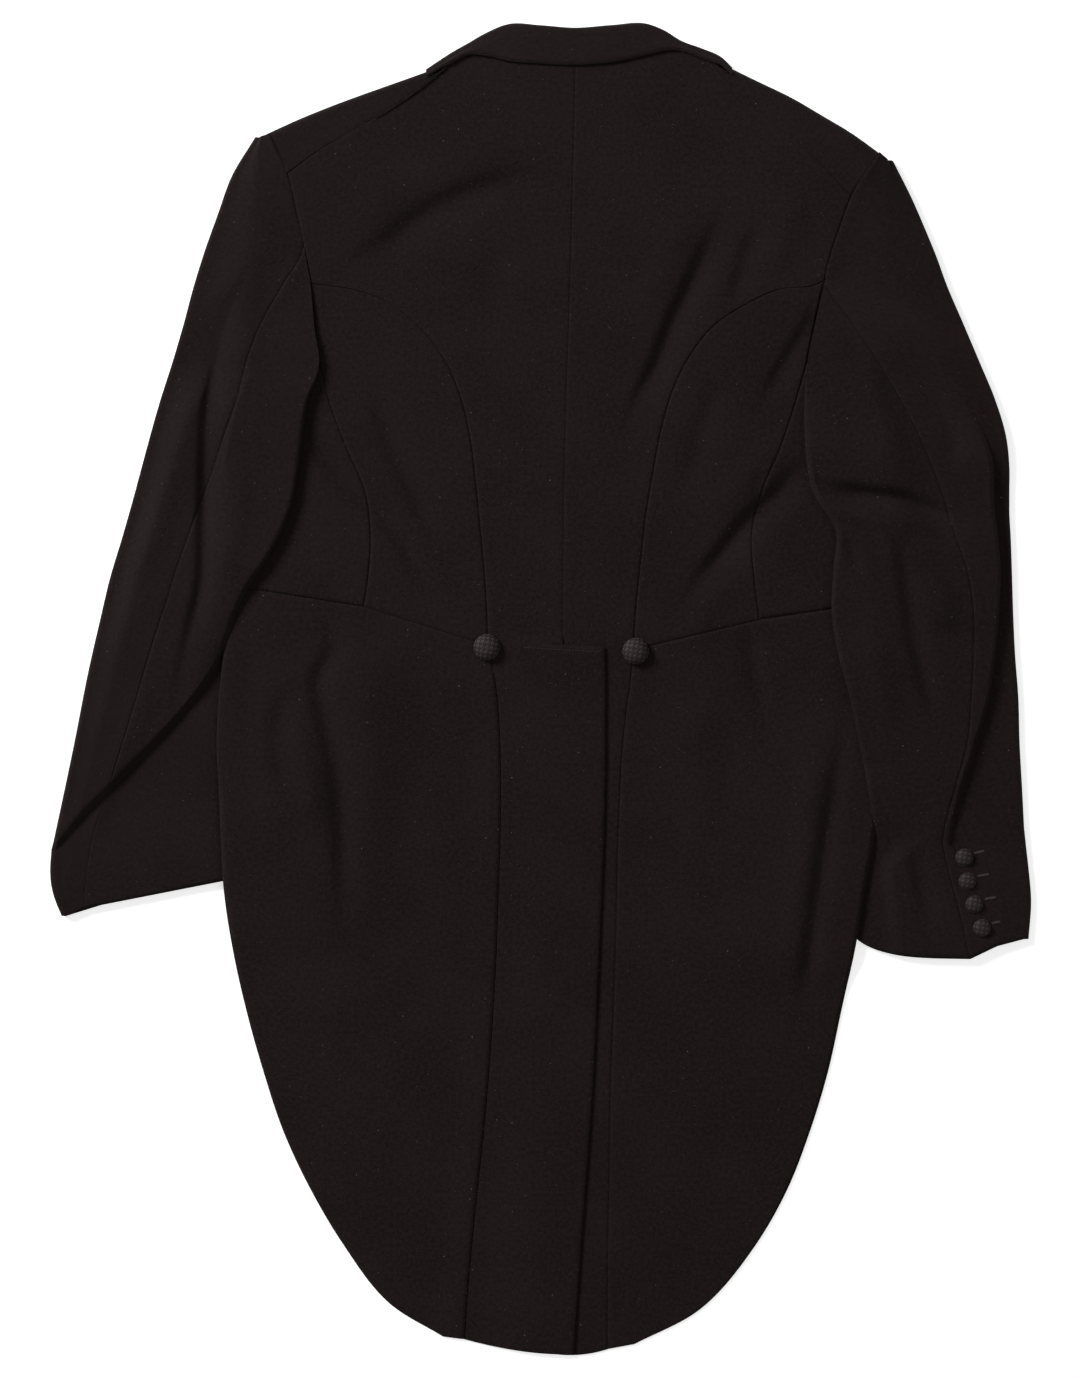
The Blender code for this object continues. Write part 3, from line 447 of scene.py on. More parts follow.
# underarm seam (the armhole in the first five), side-back seam, y at the centre back
SIDE = {
    "left": [((-178.3, 311), (-173, 316), 330), ((-177.2, 300), (-146, 312), 321),
             ((-176.3, 288), (-117, 301), 308), ((-175, 276), (-93, 282), 290),
             ((-173.5, 264), (-74, 257), 266), ((-172, 252), (-61, 226), 238),
             ((-163, 221), (-54, 195), 208), ((-150, 187), (-50, 162), 174),
             ((-136, 153), (-46.5, 128), 138), ((-132, 116), (-43.5, 96), 104),
             ((-134, 88), (-41.5, 66), 70), ((-137.5, 64.5), (-40.5, 34), 36)],
    "right": [((220, 311), (214, 315.5), 330), ((217.7, 301), (188, 312.5), 321),
              ((215.2, 290), (158, 299), 308), ((212.8, 279), (136, 284), 290),
              ((210.5, 268), (118, 262), 266), ((208, 254), (104, 234), 238),
              ((200, 226), (95, 204), 208), ((188, 190), (88.5, 170), 174),
              ((174, 157), (83, 137), 138), ((165.5, 122), (79, 102), 104),
              ((167.5, 86), (75.5, 68), 70), ((171.5, 54.5), (73, 31), 36)],
}
# pleat, outer edge of the skirt, end of the skirt's hidden front (None where it is cut away)
TAIL = {
    "left": [((-38.8, 26), (-243.5, 57), -135), ((-36.5, 10), (-247.5, 25), -160),
             ((-33.5, -15), (-251, -10), -186), ((-32, -45), (-252.5, -45), -212),
             ((-31.5, -80), (-250.5, -82), -232), ((-32, -120), (-249, -120), None),
             ((-33.5, -160), (-247, -156), None), ((-35, -205), (-240, -205), None),
             ((-37.5, -250), (-230, -250), None), ((-41, -300), (-216, -300), None),
             ((-45, -345), (-201, -345), None), ((-50, -390), (-180, -390), None),
             ((-54.5, -435), (-154, -434), None), ((-58, -475), (-118, -480), None),
             ((-60, -508), (-76, -506), None)],
    "right": [((72.5, 22), (262, 46), 160), ((71, 5), (263, 20), 182), ((68, -17), (264, -10), 206),
              ((65, -45), (264, -45), 228), ((63, -80), (263.5, -82), 246),
              ((61.5, -120), (260, -120), None), ((60.5, -160), (253.5, -157), None),
              ((59.5, -205), (246, -203), None), ((58, -250), (236, -250), None),
              ((56, -300), (225, -300), None), ((55, -345), (211, -346), None),
              ((54.5, -390), (193, -392), None), ((53.5, -435), (167, -437), None),
              ((53.2, -478), (125, -485), None), ((53, -516), (74, -512), None)],
}
# inner edge of each tail: the lapping edge of the left one, the hidden edge of the right one
VENT = {
    "left": [(50.3, 33), (51, 8), (51, -18), (51, -48), (50.5, -82), (49.5, -122), (48, -162),
             (46, -207), (44, -252), (41.5, -302), (38.5, -348), (35, -394), (31.5, -440),
             (28.5, -482), (26, -520)],
    "right": [(17.5, 26), (17.5, 8), (17.5, -18), (17, -48), (17, -82), (16.5, -122), (16, -162),
              (15, -207), (14, -252), (13, -302), (12, -348), (10.5, -394), (9, -440),
              (7.5, -482), (6, -519)],
}
VENT_LAP = 2.5                # height of the left tail over the right one
NECK_RISE = 10.0              # how far the backs go up under the collar
HOOK = ((-13.0, 36.4), (50.0, 33.0))      # stitched line where the lap is tacked down
SHOULDER_END, ARMHOLE_END, SIDE_END = 5, 8, 20      # rows where the back's outer edge turns

# upper face of the coat: y, height at the left side, down the middle, at the right side
HEIGHT = np.array([
    (-530, 2, 2, 2), (-262, 2, 2, 2), (-232, 2, 2, 3), (-208, 2.4, 2, 7.4), (-180, 5.5, 2, 8.6),
    (-150, 8.4, 2, 8.4), (-105, 9.6, 2.2, 8.8), (-80, 10, 2.4, 8.6), (-45, 10, 3, 8), (-10, 10, 4.6, 8),
    (30, 9.6, 7.2, 8.6), (70, 9.6, 8.6, 9.2), (200, 9.6, 9.2, 9.6), (330, 10.5, 9.6, 10.5),
    (400, 12, 9.6, 12), (450, 11, 9.8, 11), (500, 9.8, 9.8, 9.8)], float)
CENTRE_X, MIDDLE, SIDE_X = 20, 60, 235   # centre back, half-width of the middle, reach of the side

# folds of the body: points along the fold, half-width, height (a trough is negative), lean
BODY_FOLDS = [
    ([(-186, 202), (-170, 181), (-150, 158), (-136, 144), (-120, 130), (-104, 110), (-86, 76)], 7, -3.6, 0.3),
    ([(-176, 222), (-130, 180), (-85, 138)], 13, 2.0, 0.2),
    ([(-131, 246), (-118, 199), (-100, 158), (-84, 126), (-68, 106)], 9, -2.4, 0.2),
    ([(-208, 186), (-212, 150), (-226, 118)], 9, -1.6, 0.0),
    ([(210, 180), (193, 160), (176, 144), (159, 127), (144, 108), (129, 89), (116, 68)], 9, -4.9, 0.35),
    ([(173, 176), (167, 144)], 5, -1.0, 0.0),
    ([(196, 196), (164, 166), (128, 128)], 14, 2.2, 0.0),
    ([(150, 92), (128, 62), (110, 30)], 14, 1.4, 0.0),
    ([(145, 246), (129, 210), (118, 169), (106, 148)], 10, -1.9, 0.0),
    ([(219, 312), (210, 284), (197, 263), (186, 244), (173, 219)], 7.5, -2.9, 0.3),
    ([(-170, 74), (-162, 31), (-173, 8), (-168, -22), (-160, -55), (-155, -100), (-154, -140), (-152, -196)],
     8, -4.0, 0.3),
    ([(-186, 2), (-200, -12), (-204, -42), (-197, -88)], 8, -2.2, 0.0),
    ([(-187, -16), (-182, -50), (-174, -110)], 9, 2.2, 0.0),
    ([(-138, 40), (-134, -30), (-128, -110)], 16, 1.8, 0.0),
    ([(-222, 40), (-228, -30), (-222, -110)], 12, -1.3, 0.0),
    ([(-130, -180), (-98, -205), (-74, -229), (-56, -256)], 12, -1.7, 0.0),
    ([(-92, 20), (-98, -60), (-110, -150)], 20, -1.1, 0.0),
    ([(162, 56), (168, 16), (177, -26)], 8, -2.4, -0.2),
    ([(104, -40), (96, -139), (90, -228), (84, -330)], 16, -1.7, 0.0),
    ([(147, -15), (145, -60), (143, -105)], 13, -1.4, 0.0),
    ([(128, 10), (122, -90), (116, -190)], 15, 1.2, 0.0),
    ([(-150, 326), (-115, 350), (-87, 371), (-56, 386), (-26, 395), (8, 396)], 12, -3.9, -0.35),
    ([(-165, 348), (-122, 382), (-78, 405), (-20, 424)], 16, 1.3, 0.0),
    ([(-25, 360), (-36, 310), (-40, 260)], 18, -1.6, 0.0),
    ([(145, 374), (127, 335), (117, 313), (104, 286), (91, 252), (79, 229), (70, 206)], 8.5, -4.6, 0.35),
    ([(170, 364), (161, 335), (150, 298)], 8, -2.3, 0.3),
    ([(118, 372), (100, 338), (82, 292)], 13, 1.5, 0.0),
    ([(200, 392), (188, 350), (180, 320)], 12, 1.3, 0.0),
    ([(240, -10), (236, -40), (227, -97), (218, -157), (209, -222), (200, -282), (193, -330)],
     6.5, -3.6, 0.2),
    ([(220, -30), (211, -97), (202, -157), (192, -230)], 10, 1.8, 0.0),
    ([(120, -260), (112, -330), (100, -420)], 22, 1.0, 0.0),
    ([(-130, -290), (-118, -360), (-100, -440)], 24, 1.0, 0.0),
]


def upper_face(x, y):
    """Height of the coat's upper face: the middle and side heights of the table, eased from one to
    the other across the width, and the folds, which grow with the layers under the cloth."""
    left, middle, right = (smooth_value(y, HEIGHT[:, 0], HEIGHT[:, column]) for column in (1, 2, 3))
    side = np.where(x < CENTRE_X, left, right)
    base = middle + (side - middle) * ease((np.abs(x - CENTRE_X) - MIDDLE) / (SIDE_X - MIDDLE))
    depth = np.clip((base - 1.4) / 4.0, 0.15, 1.0)
    return base + relief(BODY_FOLDS, x, y) * depth + 0.55 * ripple(x, y, 3, 95.0) * depth


back_edge, back_centre = {}, {}
for side in ("left", "right"):
    outline = [row[0] for row in SHOULDER[side] + ARMHOLE[side]]
    outline += [row[1] for row in SIDE[side]] + [row[0] for row in TAIL[side]]
    levels = [row[1] for row in SHOULDER[side] + ARMHOLE[side]] + [row[2] for row in SIDE[side]]
    seam_y, seam_x = np.array(CENTRE_BACK, float).T
    centre = [(np.interp(y, seam_y, seam_x), y) for y in levels] + VENT[side]
    back_edge[side] = fair_curve(outline, STEPS, (SHOULDER_END, ARMHOLE_END, SIDE_END))
    centre = fair_curve(centre, STEPS, (SIDE_END, SIDE_END + 1))
    sewn_rows = slice(0, SIDE_END * STEPS)
    centre[sewn_rows, 0] = smooth_value(centre[sewn_rows, 1], seam_y, seam_x)
    back_centre[side] = centre
waist_row = SIDE_END * STEPS

for side in ("left", "right"):
    edge, centre = back_edge[side], back_centre[side]
    plan = spaced(edge, centre, 56)
    width = np.linalg.norm(centre - edge, axis=1)[:, None]
    share = np.linalg.norm(plan - plan[:, :1], axis=2) / width
    fade = np.clip(1.0 - np.arange(len(plan)) / (3.0 * STEPS), 0, 1)[:, None]
    plan[..., 1] += NECK_RISE * np.sin(math.pi * np.clip(share, 0, 1) ** 0.6) * fade
    plan[..., 1] -= 12.0 * share * (1 - share) * fade[::-1]
    plan = closer_rows(plan)
    x, y = plan[..., 0], plan[..., 1]
    height = upper_face(x, y)
    distance = edge_distance(plan, ("first",))
    centre_line = edge_distance(plan, ("last",))
    sewn = (np.arange(len(plan)) <= waist_row + ROLL_ROWS)[:, None]
    height += seam_roll(distance, seam_depth(y)) + np.where(sewn, seam_roll(centre_line, 0.28), 0.0)
    hem = edge_distance(plan, ("bottom",) if side == "right" else ("bottom", "last"))
    height -= np.where(sewn, 0.0, edge_dip(hem, 0.6))
    if side == "left":
        hidden = np.array(VENT["right"], float)[::-1]
        lap = ease((x - np.interp(y, hidden[:, 1], hidden[:, 0]) + 62.0) / 56.0) * ease((44.0 - y) / 9.0)
        height += VENT_LAP * lap
        height += relief([(HOOK, 1.1, -0.8, 0.0), ([(px, py - 4.5) for px, py in HOOK], 3.0, 0.4, 0.0)], x, y)
        hook_plan, hook_height = plan, height
    back = cloth_piece(f"back_{side}_cloth", [raised(plan, np.maximum(height, CLOTH_WALL))], [True],
                       black_wool)
    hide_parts(f"back_{side}")
    0.11 if side == "left" else 0.088

# --- Side bodies -----------------------------------------------------------------------------------
# A narrow curved panel on each side, sewn to the back along the long curve from the armhole to the
# waist button and to the front along the seam under the arm.
ARMPIT = 5                    # row of SIDE where the armhole ends and the underarm seam starts
underarm = {}
for side in ("left", "right"):
    top_x, top_y = ARMHOLE[side][-1][0]
    outer = fair_curve([(top_x, top_y - 0.4)] + [row[0] for row in SIDE[side]], STEPS, (ARMPIT + 1,))
    inner = back_edge[side][ARMHOLE_END * STEPS:waist_row + 1]
    underarm[side] = outer[(ARMPIT + 1) * STEPS:]
    plan = spaced(outer, inner, 30)
    plan = closer_rows(plan)
    height = upper_face(plan[..., 0], plan[..., 1])
    height += seam_roll(edge_distance(plan, ("first", "last", "bottom")))
    panel = cloth_piece(f"side_body_{side}_cloth", [raised(plan, height)], [True], black_wool)
    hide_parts(f"side_body_{side}")

# --- Foreparts -------------------------------------------------------------------------------------
# Each front panel lies face down on the table. It comes round the side as a soft fold to the
# underarm seam, and over the shoulder as a strap to the shoulder seam on the back.
REACH = 4.0                   # how far a folded edge bulges past its last flat point
ROUND_STEPS = 10              # fine faces round a folded edge
LAPEL_LIFT = 2.4              # height of the forepart where it lies on its lapel
SHOULDER_LOW = [2.6, 1.6, 0, 0, 0, 0]    # height of the shoulder edge's lower side
SIDE_FOLD = {
    "left": [(-222, 238), (-230, 212), (-233, 182), (-234, 152), (-234, 120), (-233, 98), (-234, 79)],
    "right": [(238, 243), (252, 214), (259, 184), (261, 152), (261, 120), (262, 92), (262, 67)],
}
# front or roll edge, width of the lapel there, armhole (or the side fold from the armpit on)
FRONT = {
    "left": [((-74, 456), 62, (-205, 408)), ((-58, 415), 86, (-199, 378)), ((-42, 368), 80, (-195, 342)),
             ((-27, 320), 68, (-193, 306)), ((-14, 277), 56, (-199, 270)), ((-6, 238), 45, None),
             ((0, 208), 36, None), ((4, 178), 26, None), ((7, 148), 16, None), ((9, 118), 0, None),
             ((10, 92), 0, None), ((10, 52), 0, None)],
    "right": [((130, 456), 62, (256, 396)), ((112, 415), 86, (246, 368)), ((94, 368), 80, (240, 336)),
              ((77, 320), 68, (236, 306)), ((62, 277), 56, (232, 272)), ((52, 238), 45, None),
              ((45, 208), 36, None), ((40, 178), 26, None), ((37, 148), 16, None), ((35, 118), 0, None),
              ((34, 92), 0, None), ((34, 45), 0, None)],
}
UNDER_STEPS = 5               # fine rows to each table row on the hidden side


def folded_edge(edge, outward, upper, lower, reach=REACH):
    """Half an ellipse from the upper to the lower wall: its long radius is the reach, its short one
    half the height between the walls. The edge is where it bulges furthest; the reach may differ
    from row to row, and is small where a fold ends."""
    angle = np.linspace(math.pi / 2, -math.pi / 2, ROUND_STEPS + 1)
    half, middle = (upper - lower) / 2, (upper + lower) / 2
    reach = np.broadcast_to(reach, len(edge))[:, None]
    shape = (edge - reach * outward)[:, None] + (reach * np.cos(angle))[..., None] * outward[:, None]
    return np.dstack([shape, middle[:, None] + half[:, None] * np.sin(angle)])


def joined(*grids):
    """Grids side by side, each next one starting on the last column of the one before."""
    return np.concatenate([grids[0]] + [grid[:, 1:] for grid in grids[1:]], axis=1)


side_strip = {}
for side, sign in (("left", -1.0), ("right", 1.0)):
    outward = np.array([sign, 0.0])
    seam = underarm[side]
    fold = fair_curve(SIDE_FOLD[side], STEPS)
    plan = spaced(seam, fold - REACH * outward, 20, end=False)
    height = upper_face(plan[..., 0], plan[..., 1])
    height += seam_roll(edge_distance(plan, ("first", "bottom")))
    low = np.zeros(len(fold))
    rolled = folded_edge(fold, np.tile(outward, (len(fold), 1)), height[:, -1], low)
    side_grid = joined(raised(plan, height), rolled)
    side_strip[side] = rolled[:, -1, :2]

    shoulder = back_edge[side][:SHOULDER_END * STEPS + 1]
    edge = fair_curve([row[2] for row in SHOULDER[side]], STEPS)
    along = np.gradient(edge, axis=0)
    normal = np.stack([-along[:, 1], along[:, 0]], axis=1) / np.linalg.norm(along, axis=1)[:, None]
    normal *= np.sign(normal[:, 1:])
    strap = spaced(shoulder, edge - REACH * normal, 6, end=False)
    strap_height = upper_face(strap[..., 0], strap[..., 1])
    strap_height += seam_roll(edge_distance(strap, ("first",)), seam_depth(strap[..., 1]))
    strap_low = fair_curve(SHOULDER_LOW, STEPS)[:, 0]
    strap_fold = folded_edge(edge, normal, strap_height[:, -1], strap_low)
    strap_grid = joined(raised(strap, strap_height), strap_fold)

    rows = FRONT[side]
    first = fair_curve([row[0] for row in rows], STEPS)
    armhole = fair_curve([row[2] for row in rows[:5]] + [tuple(side_strip[side][0])], STEPS)
    last = np.concatenate([armhole[:-1], side_strip[side]])
    lapel = fair_curve([row[1] for row in rows], STEPS)[:, 0]
    length = np.linalg.norm(last - first, axis=1)
    share = np.linspace(0, 1, 2 * STEPS + 1)[None, :] + 0 * length[:, None]
    under = first[:, None] + (last - first)[:, None] * share[..., None]
    lift = LAPEL_LIFT * np.minimum(1.0, lapel / 10)[:, None]
    lifted = lift * (1 - ease((share * length[:, None] - lapel[:, None] - 4) / 18.0))
    hidden_grid = raised(under, lifted)
    strap_line = strap_grid[:, -1]
    picked = np.linspace(0, len(strap_line) - 1, 2 * STEPS + 1).round().astype(int)
    bridge_share = np.linspace(0, 1, UNDER_STEPS + 1)[:, None, None]
    bridge = strap_line[picked][None] * (1 - bridge_share) + hidden_grid[:1] * bridge_share
    hidden_grid = np.concatenate([bridge[:-1], hidden_grid])
    forepart = cloth_piece(f"forepart_{side}_cloth", [side_grid, strap_grid, hidden_grid],
                           [True, True, False], black_wool)
    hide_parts(f"forepart_{side}")

# --- Lapels ----------------------------------------------------------------------------------------
# Each lapel is folded out on the front, so it is the lowest layer under the coat and only its edge
# can be seen from the side. It is cut from the coat's own cloth.
LAPEL_INSET = 16.0            # distance from the neck edge to the top of the lapel
for side, sign in (("left", -1.0), ("right", 1.0)):
    rows = [row for row in FRONT[side] if row[1]]
    roll_line = np.array([row[0] for row in rows], float)
    tip = np.array([(row[0][0] + sign * row[1] * 0.97, row[0][1] - row[1] * 0.18) for row in rows])
    roll_line[0] = toward(roll_line[0], roll_line[1], LAPEL_INSET)
    tip[0] = toward(tip[0], tip[1], LAPEL_INSET)
    roll_line, tip = fair_curve(roll_line, UNDER_STEPS), fair_curve(tip, UNDER_STEPS)
    plan = roll_line[:, None] + (tip - roll_line)[:, None] * np.linspace(0, 1, 9)[None, :, None]
    lapel = cloth_piece(f"lapel_{side}_cloth", [raised(plan, 0.0 * plan[..., 0])], [False], black_wool)
    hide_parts(f"lapel_{side}")

# --- Skirts ----------------------------------------------------------------------------------------
# A half skirt on each side hangs from the waist seam. It starts at the tail pleat, goes round the
# side and is cut away in a long curve to the tail. The left one lies over its own cuff.
SKIRT_START = {"left": (-40.5, 34), "right": (73, 31)}
# y, height of the turned cloth where it lies on the cuff
SKIRT_ON_CUFF = [(-400, 5.6), (-10, 5.6), (22, 5.4), (40, 0), (90, 0)]
PLEAT_STEP = {"left": 1.5, "right": 0.25}     # height of the pleat over the strip beside it
PLEAT_WIDTH = 26.0
PLEAT_LAP = 0.6               # how far the pleat laps over the strip beside it
SKIRT_TURN = 6.0              # least width of the cloth turned under at the side
CUFF_HOLD, CUFF_FALL = 12.0, 13.0     # how far that cloth lies on the cuff, and falls past it

for side, sign in (("left", -1.0), ("right", 1.0)):
    outward = np.array([sign, 0.0])
    rows = TAIL[side]
    wrapped = [row for row in rows if row[2] is not None]
    pleat = back_edge[side][waist_row:] - PLEAT_LAP * outward
    corner, side_end = np.array(SIDE[side][-1][0], float), np.array(SIDE_FOLD[side][-1]) - REACH * outward
    edge = fair_curve([tuple(SIDE_FOLD[side][-1])] + [row[1] for row in rows], STEPS)
    flat_rows = len(wrapped) * STEPS
    reach = REACH * ease((flat_rows - np.arange(flat_rows + 1)) / (1.5 * STEPS))
    edge[:flat_rows + 1, 0] -= reach * sign
    reach = np.concatenate([reach[:1], np.repeat(reach[:1], ROLL_ROWS), reach[1:]])
    plan = spaced(pleat, edge, 50, end=False)
    waist = np.array([SKIRT_START[side], corner, side_end])
    waist_x, waist_y = waist[::int(sign)].T
    dip = np.interp(plan[0, :, 0], waist_x, waist_y) - plan[0, :, 1]
    fade = 1.0 - ease(np.arange(len(plan)) / (2.0 * STEPS))
    plan[..., 1] += fade[:, None] * dip[None, :]
    plan = closer_rows(plan)
    x, y = plan[..., 0], plan[..., 1]
    height = upper_face(x, y) + seam_roll(edge_distance(plan, ("top",)))
    across = edge_distance(plan, ("first",))
    height += PLEAT_STEP[side] * ease((24.0 - y) / 20.0) * (1 - ease((across - 2.0) / PLEAT_WIDTH))
    height -= edge_dip(across, 0.8)
    count = len(wrapped) * STEPS + 1 + ROLL_ROWS
    hem = np.where(np.arange(len(plan))[:, None] < count, 1e3, edge_distance(plan, ("last", "bottom")))
    height -= edge_dip(hem, 0.5)
    fold = plan[:count, -1] + reach[:, None] * outward
    cuff_y, cuff_height = np.array(SKIRT_ON_CUFF, float).T
    low = np.interp(fold[:, 1], cuff_y, cuff_height) if side == "left" else np.zeros(count)
    height = np.maximum(height, CLOTH_WALL)
    rolled = folded_edge(fold, np.tile(outward, (count, 1)), height[:count, -1], low, reach)
    start = plan[:count, -1]
    ends = fair_curve([(wrapped[0][2] - sign * 8,)] + [(row[2],) for row in wrapped], STEPS)[:, 0]
    ends = np.concatenate([ends[:1], np.repeat(ends[:1], ROLL_ROWS), ends[1:]])
    ends = start[:, 0] - sign * np.maximum(sign * (start[:, 0] - ends), SKIRT_TURN)
    stop = np.stack([ends, start[:, 1]], axis=1)
    front_x, front_y = FRONT[side][-1][0]
    share = (ends[0] - front_x) / (start[0, 0] - front_x)
    drop = front_y + share * (start[0, 1] - front_y) - 0.3 - stop[0, 1]
    stop[:, 1] += drop * (1.0 - ease(np.arange(count) / (3.0 * STEPS)))
    span = np.abs(ends - start[:, 0])[:, None]
    steps = np.linspace(0, 1, 13)[None, :] * span
    under = start[:, None] + (stop - start)[:, None] * (steps / span)[..., None]
    under_height = low[:, None] * (1 - ease((steps - CUFF_HOLD) / CUFF_FALL))
    below = joined(rolled, raised(under, under_height))
    skirt = cloth_piece(f"skirt_{side}_cloth", [raised(plan, height), below], [True, True], black_wool)
    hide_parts(f"skirt_{side}")
    ["sleeve_left_top_cloth", "table_top"] if side == "left" else ["table_top"]

# --- Collar ----------------------------------------------------------------------------------------
# The fall of the collar: a strip of the coat's wool folded over at the back of the neck, its free
# edge lying on the back just below.
# x, top edge, edge of the fall, end of the hidden front
COLLAR = [(-89, 484.5, 479, 468), (-80, 490.5, 483.5, 471), (-70, 497, 488, 474), (-56, 505, 495, 478),
          (-42, 513, 494, 480),
          (-24, 520, 490, 481), (0, 519, 488, 481), (28, 517, 487, 481), (55, 519, 489, 481),
          (84, 520, 495, 481), (97, 515, 498, 480), (110, 507, 498, 479), (126, 501, 492, 477),
          (141, 494.5, 487, 474), (150, 486, 480.5, 470)]
COLLAR_TOP = 13.2             # height of the fall beside its free edge
COLLAR_SLOPE = 2.8            # how much lower the fold at the neck lies

table = fair_curve(COLLAR, 14)
upward = np.tile([0.0, 1.0], (len(table), 1))
top, fall = table[:, [0, 1]], table[:, [0, 2]]
plan = spaced(fall, top - REACH * upward, 12, end=False)
height = COLLAR_TOP - edge_dip(edge_distance(plan, ("first",)), 1.2, 1.4)
height += 0.25 * ripple(plan[..., 0], plan[..., 1], 8, 70.0)
height -= COLLAR_SLOPE * np.linspace(0, 1, plan.shape[1])[None, :] ** 1.5
rolled = folded_edge(top, upward, height[:, -1], np.zeros(len(table)))
below = np.stack([top - REACH * upward, table[:, [0, 3]]], axis=1)
collar = cloth_piece("collar_cloth",
                     [joined(raised(plan, height), rolled, raised(below, np.zeros(below.shape[:2])))],
                     [True], black_wool)
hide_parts("collar")

